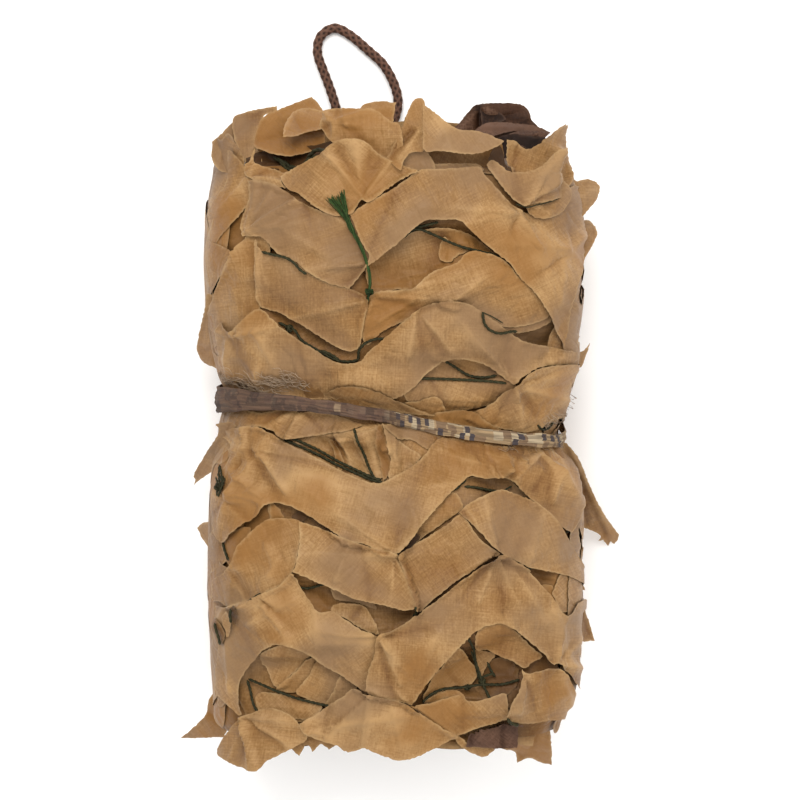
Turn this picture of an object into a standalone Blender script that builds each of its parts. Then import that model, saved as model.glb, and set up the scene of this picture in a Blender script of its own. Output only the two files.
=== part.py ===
"""Camouflage netting, rolled into a bundle and tied at the waist with a cloth strap.

The bundle lies on its flattened back. X runs across it, +Y along it towards the end with the cord loop,
and +Z up. The origin is on the flat underside. Sizes are in millimetres and are scaled to metres when a
mesh is made.
"""

import math

import bmesh
import bpy
import numpy as np
from mathutils import Vector

MM = 0.001
GAP = 0.4  # clearance between pieces that touch

# ---------------------------------------------------------------- the rolled bundle
SQUARENESS = 2.5  # exponent of the oval section: 2 is an ellipse, more is boxier
SECTIONS = [
    # y,    left, right, bottom, top
    (-157, -75, 73, 7, 86),
    (-150, -85, 80, 0, 101),
    (-130, -91, 87, -5, 112),
    (-95, -93, 91, -6, 118),
    (-55, -94, 92, -6, 119),
    (-25, -92, 90, -6, 114),
    (-2, -89, 85, -5, 107),
    (14, -87, 83, -5, 104),
    (32, -89, 86, -5, 108),
    (58, -93, 90, -6, 116),
    (95, -94, 91, -6, 119),
    (130, -92, 88, -5, 115),
    (146, -86, 82, 0, 106),
    (153, -77, 74, 7, 94),
]
UPPER_STEPS, LOWER_STEPS = 46, 22  # round the section, above and below its widest points
ROWS_ALONG = 56
END_RINGS = 8
# How far the middle of an end stands out from its rim, and the power of that profile: the end with the
# cord swells, and at the foot the inner turns have sunk in
CORD_END, FOOT_END = (5.0, 2), (-11.0, 6)
END_TURNS, TURN_RIDGE = 2.5, 3.5  # the wound layers that show in the two ends
MEAN_RADIUS = 77.0
SHELTER = 18.0  # relief dies out over this height above the flat underside

# The strap's path round the roll: its mean distance along it, and how far that varies across and over
STRAP_MID, STRAP_SLANT, STRAP_ARCH = 13.5, -10.0, 6.5
GROOVE_DEPTH, GROOVE_REACH = 4.0, 13.0
GATHER_HEIGHT, GATHER_REACH, GATHER_COUNT = 1.6, 34.0, 23

# Places where the cut garnish gapes and the layer below it shows
PITS = [
    # x, y, half_length, half_width, turn_deg, depth
    (-50, 143, 17, 8, 6, 15),
    (5, 96, 20, 10, 24, 9),
    (38, 105, 16, 4, -27, 6),
    (-52, 94, 13, 3, -28, 5),
    (-86, 81, 17, 4, 62, 6),
    (-43, 62, 24, 6, -29, 8),
    (28, 41, 25, 6, 2, 7),
    (46, 65, 9, 4, -30, 5),
    (65, 55, 14, 3, -27, 5),
    (35, 144, 22, 5, -4, 9),
    (-23, 4, 24, 10, -12, 8),
    (52, -19, 22, 6, -28, 7),
    (6, -40, 8, 4, 40, 7),
    (-41, -33, 22, 4, -24, 7),
    (-19, -73, 31, 7, -16, 8),
    (74, -64, 18, 6, -15, 8),
    (-47, -112, 30, 14, 4, 9),
    (41, -105, 27, 13, 28, 11),
    (47, -139, 20, 6, 3, 8),
    (-83, -52, 10, 3, -65, 5),
    (-76, -75, 9, 3, 60, 5),
    (-39, -125, 15, 4, -18, 6),
    (21, -128, 20, 4, -32, 6),
    (22, -51, 15, 3, 42, 5),
]

# Leaves and bands of garnish that stand a little above the rest
LEAVES = [
    # x, y, half_length, half_width, turn_deg, rise
    (-23, 139, 23, 12, 0, 3.0),
    (24, 124, 30, 11, -2, 2.5),
    (62, 131, 22, 13, 4, 3.0),
    (-42, 108, 26, 12, -24, 2.5),
    (-38, 78, 25, 11, -24, 2.5),
    (28, 84, 28, 9, 4, 2.5),
    (-80, 92, 14, 12, 60, 2.0),
    (20, 59, 36, 9, 8, 2.5),
    (66, 84, 24, 15, -30, 2.5),
    (71, 34, 22, 11, 4, 3.5),
    (-18, 33, 22, 5, -6, 3.0),
    (-46, -8, 36, 11, -20, 2.5),
    (22, -22, 26, 10, 24, 2.5),
    (52, -38, 26, 11, -24, 3.0),
    (-64, -55, 20, 14, 6, 3.0),
    (-22, -56, 32, 11, -8, 2.5),
    (-58, -88, 34, 9, 6, 2.5),
    (24, -88, 32, 12, 20, 2.5),
    (66, -84, 24, 12, -36, 2.5),
    (54, -92, 18, 8, -14, 3.0),
    (-72, -144, 22, 12, -4, 3.0),
    (-12, -138, 28, 14, 4, 3.0),
    (72, -124, 20, 14, 0, 3.0),
]

PIT_RIM, LEAF_RIM = 0.34, 0.24  # how much of each is its sloping rim
UPPER_FROM = (40, 70)  # heights between which the side's pattern gives way to the upper side's
LUMP_HEIGHT, LUMP_ARC, LUMP_ALONG = 1.3, 34.0, 31.0

# The same garnish goes on round the sides and the back, in staggered rows
SIDE_ROW_STEP, SIDE_LEAF_STEP = 47.0, 62.0
SIDE_SLIT = (24.0, 5.0, 4.0)  # half length, half width, depth
SIDE_TURN = 24.0


def smoothstep(edge0, edge1, value):
    t = np.clip((value - edge0) / (edge1 - edge0), 0.0, 1.0)
    return t * t * (3 - 2 * t)


def ripple(a, b, phase=0.0):
    """An uneven surface between about -1 and 1, the same each run."""
    return (
        0.5 * np.sin(a * 1.31 + 0.8 * np.sin(b * 1.7 + phase) + phase)
        + 0.3 * np.sin(b * 2.13 - a * 0.9 + 2.1 * phase)
        + 0.2 * np.sin(a * 3.1 + b * 2.6 + 3.3 * phase)
    )


def along_table(rows, column, at):
    """A smooth curve through one column of a table whose first column rises."""
    keys = np.array([row[0] for row in rows], float)
    values = np.array([row[column] for row in rows], float)
    slopes = np.gradient(values, keys)
    at = np.clip(at, keys[0], keys[-1])
    i = np.clip(np.searchsorted(keys, at, side="right") - 1, 0, len(keys) - 2)
    span = keys[i + 1] - keys[i]
    t = (at - keys[i]) / span
    return (
        values[i] * (1 + 2 * t) * (1 - t) ** 2
        + slopes[i] * span * t * (1 - t) ** 2
        + values[i + 1] * t * t * (3 - 2 * t)
        + slopes[i + 1] * span * t * t * (t - 1)
    )


def strap_line(angle):
    """How far along the roll the strap's middle lies, at an angle round the section."""
    return STRAP_MID + STRAP_SLANT * np.cos(angle) + STRAP_ARCH * np.sin(angle) ** 2


def in_patch(x, y, patch_x, patch_y, half_length, half_width, turn_deg, rim):
    """1 inside an oval patch, falling to 0 over its rim."""
    turn = math.radians(turn_deg)
    u = (x - patch_x) * math.cos(turn) + (y - patch_y) * math.sin(turn)
    v = (y - patch_y) * math.cos(turn) - (x - patch_x) * math.sin(turn)
    return 1 - smoothstep(1 - rim, 1 + rim, np.sqrt((u / half_length) ** 2 + (v / half_width) ** 2))


def front_relief(x, y):
    """Pits and leaves on the upper face, at places given from above."""
    height = np.zeros(np.broadcast(x, y).shape)
    for *place, rise in LEAVES:
        height = height + rise * in_patch(x, y, *place, rim=LEAF_RIM)
    for *place, depth in PITS:
        height = height - depth * in_patch(x, y, *place, rim=PIT_RIM)
    return height


def side_relief(arc, y):
    """Staggered slits and leaves elsewhere, at a distance round the section from the top's middle."""
    row = np.round(y / SIDE_ROW_STEP)
    shift = 0.5 * SIDE_LEAF_STEP * np.mod(row, 2) + 9 * ripple(row * 2.3, row * 1.1)
    leaf = np.round((arc - shift) / SIDE_LEAF_STEP)
    centre_arc = leaf * SIDE_LEAF_STEP + shift
    centre_y = row * SIDE_ROW_STEP + 6 * ripple(leaf * 1.9, row * 2.7)
    lean = np.radians(SIDE_TURN) * np.where(np.mod(leaf, 2) > 0, 1, -1)
    u = (arc - centre_arc) * np.cos(lean) + (y - centre_y) * np.sin(lean)
    v = (y - centre_y) * np.cos(lean) - (arc - centre_arc) * np.sin(lean)
    half_length, half_width, depth = SIDE_SLIT
    slit = 1 - smoothstep(0.7, 1.3, np.hypot(u / half_length, v / half_width))
    lip = 1 - smoothstep(0.8, 1.2, np.hypot(u / half_length, (v - 2.6 * half_width) / (1.6 * half_width)))
    return 2.0 * lip - depth * slit


def skin(angle, y, grow=0.0):
    """The roll's surface at an angle round its section and a distance along it, moved out by grow."""
    angle, y = np.broadcast_arrays(np.asarray(angle, float), np.asarray(y, float))
    left, right, bottom, top = (along_table(SECTIONS, c, y) for c in (1, 2, 3, 4))
    half_x, half_z = (right - left) / 2, (top - bottom) / 2
    mid_x, mid_z = (right + left) / 2, (top + bottom) / 2
    cos, sin = np.cos(angle), np.sin(angle)
    flat_x = np.sign(cos) * np.abs(cos) ** (2 / SQUARENESS)
    flat_z = np.sign(sin) * np.abs(sin) ** (2 / SQUARENESS)
    x, z = mid_x + half_x * flat_x, mid_z + half_z * flat_z
    out_x = np.sign(flat_x) * np.abs(flat_x) ** (SQUARENESS - 1) / half_x
    out_z = np.sign(flat_z) * np.abs(flat_z) ** (SQUARENESS - 1) / half_z
    length = np.hypot(out_x, out_z)
    out_x, out_z = out_x / length, out_z / length

    arc = (np.pi - np.mod(angle + np.pi / 2, 2 * np.pi)) * MEAN_RADIUS
    from_strap = np.abs(y - strap_line(angle))
    upper = smoothstep(*UPPER_FROM, z)
    relief = upper * front_relief(x, y) + (1 - upper) * side_relief(arc, y)
    relief = relief * smoothstep(GROOVE_REACH - 4, GROOVE_REACH + 8, from_strap)
    relief = relief + LUMP_HEIGHT * ripple(arc / LUMP_ARC, y / LUMP_ALONG)
    gather = np.sin(GATHER_COUNT * angle + 1.3 * np.sin(3 * angle))
    relief = relief + GATHER_HEIGHT * gather * np.exp(-from_strap / GATHER_REACH)
    relief = relief * smoothstep(0, SHELTER, z)
    groove = -GROOVE_DEPTH * (1 - smoothstep(0, GROOVE_REACH, from_strap))

    z = np.maximum(z, 0.0)
    move = relief + groove + grow
    return np.stack([x + out_x * move, y, np.maximum(z + out_z * move, -grow)], axis=-1)


def section_angles():
    """Angles round the section, closer together over the upper side."""
    upper = np.linspace(-0.1, math.pi + 0.1, UPPER_STEPS, endpoint=False)
    lower = np.linspace(math.pi + 0.1, 2 * math.pi - 0.1, LOWER_STEPS, endpoint=False)
    return np.concatenate([upper, lower])


def angle_over(x, y):
    """The angle at which the upper side of the roll is at x."""
    low, high = 0.02, math.pi - 0.02
    for _ in range(30):
        middle = (low + high) / 2
        if skin(middle, y)[0] > x:
            low = middle
        else:
            high = middle
    return (low + high) / 2


def on_top(x, y, lift):
    """A point at x and y, lift above the roll's upper side."""
    return Vector(skin(angle_over(x, y), y, lift))


# ---------------------------------------------------------------- making objects
def collection(name):
    made = bpy.data.collections.new(name)
    bpy.context.scene.collection.children.link(made)
    return made


def material(name, colour, roughness):
    made = bpy.data.materials.new(name)
    made.use_nodes = True
    shader = made.node_tree.nodes["Principled BSDF"]
    shader.inputs["Base Color"].default_value = (*colour, 1)
    shader.inputs["Roughness"].default_value = roughness
    shader.inputs["Metallic"].default_value = 0.0
    return made


def weld(mesh):
    """Joins points that coincide and turns the faces outward."""
    edit = bmesh.new()
    edit.from_mesh(mesh)
    bmesh.ops.remove_doubles(edit, verts=edit.verts, dist=0.00001)
    bmesh.ops.recalc_face_normals(edit, faces=edit.faces)
    edit.to_mesh(mesh)
    edit.free()


def mesh_object(name, points, faces, finish, home):
    mesh = bpy.data.meshes.new(name)
    mesh.from_pydata([tuple(c * MM for c in p) for p in points], [], faces)
    weld(mesh)
    mesh.materials.append(finish)
    mesh.shade_smooth()
    made = bpy.data.objects.new(name, mesh)
    home.objects.link(made)
    return made


def grid_faces(rows, columns, closed):
    """Quads between the points of a grid, joined round when closed."""
    across = columns if closed else columns - 1
    faces = []
    for row in range(rows - 1):
        for c in range(across):
            near, far = row * columns, (row + 1) * columns
            step = (c + 1) % columns
            faces.append((near + c, near + step, far + step, far + c))
    return faces


def end_rings(rim, direction, swell, power, grow):
    """The wound end of the roll: rings run in from the rim, the layers' edges as a spiral ridge."""
    centre = rim.mean(axis=0)
    angle = np.arctan2(rim[:, 2] - centre[2], rim[:, 0] - centre[0])
    reach = np.hypot(rim[:, 0] - centre[0], rim[:, 2] - centre[2])
    rings = []
    for ring in range(1, END_RINGS + 1):
        share = 1 - ring / (END_RINGS + 0.5)
        points = centre + (rim - centre) * (share * (1 + grow / reach))[:, None]
        wound = np.cos(2 * np.pi * END_TURNS * share + angle)
        stand = swell * (1 - share**power) + TURN_RIDGE * wound * smoothstep(0, 0.25, 1 - share)
        points[:, 1] = rim[:, 1] + direction * (stand + grow)
        points[:, 2] = np.maximum(points[:, 2], -grow)
        rings.append(points)
    return rings


def roll_object(name, finish, home, grow=0.0):
    """The rolled net as one closed solid, or the same form moved out all round."""
    angles = section_angles()
    body = [skin(angles, y, grow) for y in np.linspace(SECTIONS[0][0], SECTIONS[-1][0], ROWS_ALONG)]
    low_rim, high_rim = (skin(angles, SECTIONS[i][0]) for i in (0, -1))
    body[0][:, 1] -= grow
    body[-1][:, 1] += grow
    rows = end_rings(low_rim, -1, *FOOT_END, grow)[::-1] + body + end_rings(high_rim, 1, *CORD_END, grow)
    points = [tuple(p) for row in rows for p in row]
    quads = grid_faces(len(rows), len(angles), closed=True)
    faces = [tri for a, b, c, d in quads for tri in ((a, b, c), (a, c, d))]
    count = len(angles)
    for row in (0, len(rows) - 1):
        ring = [row * count + c for c in range(count)]
        centre = np.mean([points[i] for i in ring], axis=0)
        points.append(tuple(centre))
        hub = len(points) - 1
        for c in range(count):
            faces.append((hub, ring[c], ring[(c + 1) % count]))
    return mesh_object(name, points, faces, finish, home)


def cut_clear(piece, cutter):
    """Takes from a piece what reaches into the grown roll, so that it ends just off the roll's face."""
    cut = piece.modifiers.new("clear_of_roll", "BOOLEAN")
    cut.operation = "DIFFERENCE"
    cut.object = cutter
    cut.use_self = True


# ---------------------------------------------------------------- strap
STRAP_INNER, STRAP_OUTER, STRAP_CROWN = 0.95, 2.55, 0.4
STRAP_WIDTH, STRAP_WIDTH_LEFT = 8.0, 14.0
STRAP_WIDENS = ((2.0, 2.7), (3.6, 4.2))  # angles between which it widens and narrows again


def strap_object(finish, home):
    """A flat strap all round the waist, wider where it isn't pulled tight."""
    angles = section_angles()
    wide = smoothstep(*STRAP_WIDENS[0], angles) * (1 - smoothstep(*STRAP_WIDENS[1], angles))
    half = (STRAP_WIDTH + (STRAP_WIDTH_LEFT - STRAP_WIDTH) * wide) / 2
    middle = strap_line(angles)
    rings = []
    outer = [(-1, STRAP_OUTER), (0, STRAP_OUTER + STRAP_CROWN), (1, STRAP_OUTER)]
    inner = [(1, STRAP_INNER), (0, STRAP_INNER), (-1, STRAP_INNER)]
    for side, lift in outer + inner:
        rings.append(skin(angles, middle + side * half, lift))
    points = [tuple(p) for ring in rings + rings[:1] for p in ring]
    faces = grid_faces(len(rings) + 1, len(angles), closed=True)
    return mesh_object("strap", points, faces, finish, home)


# ---------------------------------------------------------------- loose leaves and flaps
LEAF_THICKNESS = 1.4
LEAF_STEPS_ACROSS, LEAF_STEPS_OUT = 2, 4  # between two ribs, and from root to tip

# Each leaf is a few ribs, from its root in the roll to its tip, with the height it bows up on the way
FLAPS = {
    "leaf_rim_left": [
        # root x, y, z, tip x, y, z, bow
        (-80, 138, 60, -91, 149, 58, 2),
        (-76, 140, 74, -82, 157, 60, 3),
        (-72, 141, 84, -79, 162, 62, 4),
        (-63, 142, 90, -67, 166, 64, 6),
        (-56, 142, 92, -60, 166, 64, 4),
        (-50, 143, 90, -48, 171, 62, 5),
        (-43, 143, 90, -42, 172, 60, 6),
        (-34, 143, 88, -33, 163, 60, 5),
    ],
    "leaf_rim_back": [
        (-27, 146, 46, -26, 163, 32, 2),
        (-19, 146, 47, -19, 167, 34, 5),
        (-8, 146, 47, -8, 168, 35, 6),
        (2, 146, 46, 1, 166, 34, 4),
    ],
    "leaf_rim_spike": [
        (-6, 138, 86, 2, 160, 86, 1),
        (2, 138, 88, 8, 172, 90, 2),
        (11, 138, 88, 13, 172, 90, 2),
        (22, 138, 86, 23, 160, 86, 1),
    ],
    "leaf_rim_right": [
        (68, 140, 86, 74, 152, 76, 1),
        (72, 138, 84, 84, 159, 66, 3),
        (74, 134, 82, 86, 147, 66, 3),
        (76, 128, 80, 85, 137, 68, 2),
    ],
    "leaf_side_high": [
        (78, 110, 78, 89, 111, 64, 1),
        (80, 115, 80, 97, 116, 56, 4),
        (80, 121, 80, 101, 124, 54, 6),
        (79, 127, 80, 98, 129, 56, 4),
        (77, 132, 80, 87, 134, 66, 1),
    ],
    "leaf_side_mid": [
        (80, 84, 72, 91, 85, 60, 1),
        (81, 90, 74, 97, 91, 54, 4),
        (81, 97, 74, 99, 101, 54, 5),
        (80, 103, 74, 91, 107, 62, 1),
    ],
    "flap_right_fold": [
        (79, -5, 58, 90, -8, 54, 1),
        (80, -8, 62, 98, -24, 40, 6),
        (80, -12, 63, 110, -54, 10, 12),
        (80, -16, 60, 115, -61, 5, 9),
        (80, -20, 55, 110, -62, 4, 12),
        (81, -25, 48, 101, -60, 5, 4),
        (82, -30, 42, 95, -50, 12, 2),
    ],
    "flap_right_low": [
        (82, -66, 66, 92, -68, 58, 1),
        (82, -74, 66, 97, -80, 48, 4),
        (82, -82, 65, 94, -86, 52, 2),
        (82, -90, 66, 95, -94, 54, 2),
        (82, -98, 66, 101, -107, 44, 4),
        (82, -106, 64, 95, -111, 50, 2),
    ],
    "flap_left_mid": [
        (-85, 66, 62, -95, 68, 54, 1),
        (-85, 58, 62, -100, 56, 48, 3),
        (-85, 50, 61, -102, 46, 44, 4),
        (-84, 43, 60, -100, 39, 44, 3),
        (-83, 36, 58, -92, 33, 50, 1),
    ],
    "flap_left_low": [
        (-83, 6, 60, -91, 1, 52, 1),
        (-83, 0, 60, -98, -12, 40, 4),
        (-83, -6, 60, -103, -26, 28, 6),
        (-84, -12, 60, -95, -22, 40, 4),
        (-84, -18, 58, -92, -20, 52, 1),
    ],
    "flap_left_small": [
        (-86, -38, 62, -95, -40, 54, 1),
        (-86, -44, 62, -102, -47, 44, 3),
        (-86, -51, 62, -100, -56, 44, 3),
        (-86, -58, 60, -95, -64, 50, 1),
    ],
    "flap_floor_left": [
        (-82, -132, 40, -95, -142, 14, 2),
        (-82, -138, 42, -104, -154, 6, 6),
        (-81, -143, 44, -116, -168, 2, 10),
        (-78, -147, 42, -104, -168, 2, 8),
        (-74, -149, 36, -90, -166, 3, 4),
    ],
    "leaf_end_right": [
        (56, -138, 84, 60, -153, 66, 2),
        (60, -140, 90, 64, -163, 58, 5),
        (67, -140, 88, 70, -166, 54, 6),
        (74, -140, 80, 79, -167, 50, 5),
        (79, -136, 72, 83, -160, 50, 3),
    ],
}

BROWN_TOP = [
    (24, 144, 62, 25, 155, 58, 1),
    (31, 144, 68, 33, 164, 50, 6),
    (38, 144, 66, 41, 168, 48, -2),
    (46, 144, 70, 48, 169, 52, 5),
    (53, 144, 66, 56, 168, 46, -1),
    (60, 144, 70, 63, 166, 50, 5),
    (67, 143, 66, 70, 158, 52, -1),
    (74, 140, 68, 78, 153, 56, 2),
]
BROWN_THICKNESS = 2.4
BROWN_STEPS_ACROSS = 2


def ribs_between(ribs, steps):
    """More ribs, on smooth curves through the given ones."""
    keyed = [(i, *rib) for i, rib in enumerate(ribs)]
    at = np.linspace(0, len(ribs) - 1, (len(ribs) - 1) * steps + 1)
    return np.stack([along_table(keyed, c, at) for c in range(1, 8)], axis=-1)


def flap_object(name, ribs, finish, home, cutter, thickness=LEAF_THICKNESS, steps=LEAF_STEPS_ACROSS):
    """A thin sheet through its ribs, clear of the roll that its root lies in."""
    points = []
    fine = ribs_between(ribs, steps)
    for rib in fine:
        root, tip, bow = rib[:3], rib[3:6], rib[6]
        for step in range(LEAF_STEPS_OUT + 1):
            t = step / LEAF_STEPS_OUT
            point = root + (tip - root) * t
            point[2] += 4 * bow * t * (1 - t)
            points.append(tuple(point))
    faces = grid_faces(len(fine), LEAF_STEPS_OUT + 1, closed=False)
    made = mesh_object(name, points, faces, finish, home)
    solid = made.modifiers.new("cloth", "SOLIDIFY")
    solid.thickness = thickness * MM
    solid.offset = 0
    cut_clear(made, cutter)
    return made


# A piece that lies on the roll: its outline on the upper side, as a width at each station along X
BROWN_END = [
    # x, y_low, y_high
    (31, -147, -141),
    (37, -150, -137),
    (46, -150, -135),
    (55, -149, -134),
    (60, -147, -134),
]
LYING_INNER, LYING_OUTER = 0.8, 2.2


def lying_object(name, stations, finish, home, cutter):
    """A thin sheet that follows the roll's upper side below it."""
    layers = []
    across = 5
    fine = np.linspace(stations[0][0], stations[-1][0], 3 * len(stations))
    for lift in (LYING_INNER, LYING_OUTER):
        for x in fine:
            low, high = along_table(stations, 1, x), along_table(stations, 2, x)
            layers.append([tuple(on_top(x, y, lift)) for y in np.linspace(low, high, across)])
    rows = len(fine)
    points = [p for row in layers for p in row]
    below = grid_faces(rows, across, closed=False)
    above = [tuple(i + rows * across for i in face) for face in below]
    rim = [c for c in range(across)] + [r * across + across - 1 for r in range(1, rows)]
    rim += [(rows - 1) * across + c for c in range(across - 2, -1, -1)]
    rim += [r * across for r in range(rows - 2, 0, -1)]
    sides = [
        (a, b, b + rows * across, a + rows * across) for a, b in zip(rim, rim[1:] + rim[:1])
    ]
    made = mesh_object(name, points, [f[::-1] for f in below] + above + sides, finish, home)
    cut_clear(made, cutter)
    return made


# ---------------------------------------------------------------- cords
CORD_RADIUS = 2.5
CORD_SPACING = 6.0
CORD_ROUTE = [
    # x, y, z of the cord's middle, from inside the roll's end, round the bight and back
    (-24, 138, 7),
    (-27, 148, 4),
    (-30, 157, 2.6),
    (-32, 165, 2.6),
    (-35, 174, 2.6),
    (-38, 182, 2.6),
    (-40.5, 190, 2.6),
    (-39, 198, 2.6),
    (-32, 202.5, 2.6),
    (-24, 199, 2.6),
    (-15, 191.5, 2.6),
    (-7, 184, 2.6),
    (-1.5, 174, 2.6),
    (0.5, 165, 2.6),
    (-1, 157, 2.6),
    (-5, 148, 4),
    (-9, 138, 7),
]

TWINE_ROUTE = [
    # x, y, radius
    (-27.5, 127, 3.0),
    (-25.5, 120, 2.6),
    (-21.6, 111, 2.0),
    (-17.7, 103, 1.7),
    (-14.2, 95, 1.5),
    (-12.6, 88, 1.5),
    (-12.2, 82, 2.4),
    (-12.8, 79, 2.2),
    (-14.9, 74, 1.2),
]
TWINE_LIFT = 0.8


def smooth_route(points, spacing):
    """Points about one spacing apart on a smooth curve through a hand-placed route."""
    route = [Vector(p) for p in points]
    ends = [route[0] * 2 - route[1]] + route + [route[-1] * 2 - route[-2]]
    fine = []
    for before, start, stop, after in zip(ends, ends[1:], ends[2:], ends[3:]):
        steps = max(1, round((stop - start).length / spacing))
        for step in range(steps):
            t = step / steps
            fine.append(
                0.5
                * (
                    2 * start
                    + (stop - before) * t
                    + (2 * before - 5 * start + 4 * stop - after) * t * t
                    + (3 * start - before - 3 * stop + after) * t**3
                )
            )
    return fine + [route[-1]]


def tube_object(name, points, radii, finish, home, cutter=None):
    """A round tube along the points, made a mesh so that it can be cut clear of the roll."""
    curve = bpy.data.curves.new(name + "_route", "CURVE")
    curve.dimensions = "3D"
    curve.bevel_depth = MM
    curve.bevel_resolution = 2
    curve.use_fill_caps = True
    spline = curve.splines.new("POLY")
    spline.points.add(len(points) - 1)
    for target, point, radius in zip(spline.points, points, radii):
        target.co = (*(point * MM), 1)
        target.radius = radius
    guide = bpy.data.objects.new(name + "_route", curve)
    home.objects.link(guide)
    shape = guide.evaluated_get(bpy.context.evaluated_depsgraph_get())
    mesh = bpy.data.meshes.new_from_object(shape)
    bpy.data.objects.remove(guide)
    weld(mesh)
    mesh.materials.clear()
    mesh.materials.append(finish)
    mesh.shade_smooth()
    made = bpy.data.objects.new(name, mesh)
    home.objects.link(made)
    if cutter:
        cut_clear(made, cutter)
    return made


def main():
    for old in list(bpy.data.objects):
        bpy.data.objects.remove(old)
    home = collection("camouflage_netting")
    tools = collection("cutters")

    garnish = material("garnish", (0.33, 0.19, 0.085), 0.62)
    printed = material("strap_cloth", (0.30, 0.22, 0.16), 0.75)
    brown = material("brown_garnish", (0.07, 0.035, 0.025), 0.7)
    braid = material("braided_cord", (0.075, 0.035, 0.018), 0.6)
    twine = material("net_twine", (0.02, 0.035, 0.02), 0.7)

    roll_object("net_roll", garnish, home)
    cutter = roll_object("clearance", garnish, tools, grow=GAP)
    cutter.hide_render = True
    cutter.display_type = "WIRE"

    strap_object(printed, home)
    for name, ribs in FLAPS.items():
        flap_object(name, ribs, garnish, home, cutter)
    flap_object("brown_cloth_top", BROWN_TOP, brown, home, cutter, BROWN_THICKNESS, BROWN_STEPS_ACROSS)
    lying_object("brown_cloth_end", BROWN_END, brown, home, cutter)

    cord = smooth_route(CORD_ROUTE, CORD_SPACING)
    tube_object("cord_loop", cord, [CORD_RADIUS] * len(cord), braid, home, cutter)
    strand = [on_top(x, y, radius + TWINE_LIFT) for x, y, radius in TWINE_ROUTE]
    tube_object("twine_tuft", strand, [row[2] for row in TWINE_ROUTE], twine, home, cutter)


main()
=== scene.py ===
"""Camouflage netting, rolled and tied: the looks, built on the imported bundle.

Pieces are cut on a flat plan and laid on the roll in order, each over what is already there. The front
plan is the view grid, 800 steps across the picture and 800 down, carried along the camera's rays. The
plan of the sides and the underside is in millimetres, round the roll and along it.
"""

import math

import bpy
import numpy as np
from mathutils import Matrix, Vector, geometry, noise
from mathutils.bvhtree import BVHTree


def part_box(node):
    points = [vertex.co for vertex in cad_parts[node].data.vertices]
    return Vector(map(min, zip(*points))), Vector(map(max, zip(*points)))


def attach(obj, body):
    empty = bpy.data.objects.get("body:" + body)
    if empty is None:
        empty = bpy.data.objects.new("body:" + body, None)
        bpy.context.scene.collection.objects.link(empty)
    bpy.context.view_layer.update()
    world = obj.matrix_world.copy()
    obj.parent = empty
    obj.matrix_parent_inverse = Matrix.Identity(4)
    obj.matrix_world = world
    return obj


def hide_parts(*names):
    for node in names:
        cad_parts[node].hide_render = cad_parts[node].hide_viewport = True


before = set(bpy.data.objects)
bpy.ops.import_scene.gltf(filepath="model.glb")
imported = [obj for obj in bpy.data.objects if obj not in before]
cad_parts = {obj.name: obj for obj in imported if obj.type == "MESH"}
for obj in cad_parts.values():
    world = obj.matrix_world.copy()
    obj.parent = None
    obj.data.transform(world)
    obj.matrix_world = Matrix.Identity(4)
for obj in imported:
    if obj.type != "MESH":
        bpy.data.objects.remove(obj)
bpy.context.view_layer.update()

MM = 0.001
RANDOM = np.random.default_rng(7)
SCENE = bpy.context.scene

# ---------------------------------------------------------------- camera and light
VIEW_STEPS = 800
VIEW_WIDTH = 0.400  # the picture's width at the target
VIEW_STEP_MM = VIEW_WIDTH / VIEW_STEPS / MM
TARGET = Vector((0.0015, 0.0195, 0.060))
DISTANCE = 1.8
TILT = math.radians(8)  # from straight above, towards the end with the cord loop
SENSOR_MM = 36.0
CLIP_NEAR, CLIP_FAR = 0.05, 20.0

LOOK = Vector((0, -math.sin(TILT), -math.cos(TILT)))
VIEW_UP = Vector((0, math.cos(TILT), -math.sin(TILT)))
EYE = TARGET - LOOK * DISTANCE


def view_ray(px, py):
    """From the camera to where a step of the view grid lies at the target's distance."""
    across = (px / VIEW_STEPS - 0.5) * VIEW_WIDTH
    up = (0.5 - py / VIEW_STEPS) * VIEW_WIDTH
    return LOOK * DISTANCE + Vector((across, 0, 0)) + VIEW_UP * up


def view_place(point):
    """The step of the view grid at which a point is seen."""
    away = point - EYE
    scale = DISTANCE / away.dot(LOOK) / VIEW_WIDTH * VIEW_STEPS
    half = VIEW_STEPS / 2
    return half + away.x * scale, half - away.dot(VIEW_UP) * scale


def make_camera():
    data = bpy.data.cameras.new("camera")
    data.sensor_width = SENSOR_MM
    data.lens = SENSOR_MM * DISTANCE / VIEW_WIDTH
    data.clip_start, data.clip_end = CLIP_NEAR, CLIP_FAR
    camera = bpy.data.objects.new("camera", data)
    SCENE.collection.objects.link(camera)
    camera.matrix_world = Matrix((
        (1, VIEW_UP.x, -LOOK.x, EYE.x),
        (0, VIEW_UP.y, -LOOK.y, EYE.y),
        (0, VIEW_UP.z, -LOOK.z, EYE.z),
        (0, 0, 0, 1),
    ))
    SCENE.camera = camera


# Square area lights that face the target: place and size in metres, then watts and colour
LIGHTS = {
    "key": dict(place=(-0.15, 0.85, 1.35), size=0.8, watts=21, colour=(1.0, 0.98, 0.95)),
    "fill": dict(place=(1.2, 0.1, 1.2), size=1.4, watts=9, colour=(1.0, 0.99, 0.97)),
    "front": dict(place=(-0.3, -1.3, 1.0), size=1.0, watts=6, colour=(1.0, 0.99, 0.97)),
}
SKY_COLOUR, SKY_STRENGTH = (1.0, 0.99, 0.975, 1), 0.92
FLOOR_REACH, FLOOR_COLOUR, FLOOR_ROUGHNESS = 6.0, (0.95, 0.95, 0.95), 0.9


def make_light(name, place, size, watts, colour):
    data = bpy.data.lights.new(name, "AREA")
    data.size, data.energy, data.color = size, watts, colour
    light = bpy.data.objects.new(name, data)
    light.location = place
    light.rotation_euler = (TARGET - Vector(place)).to_track_quat("-Z", "Y").to_euler()
    SCENE.collection.objects.link(light)


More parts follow.
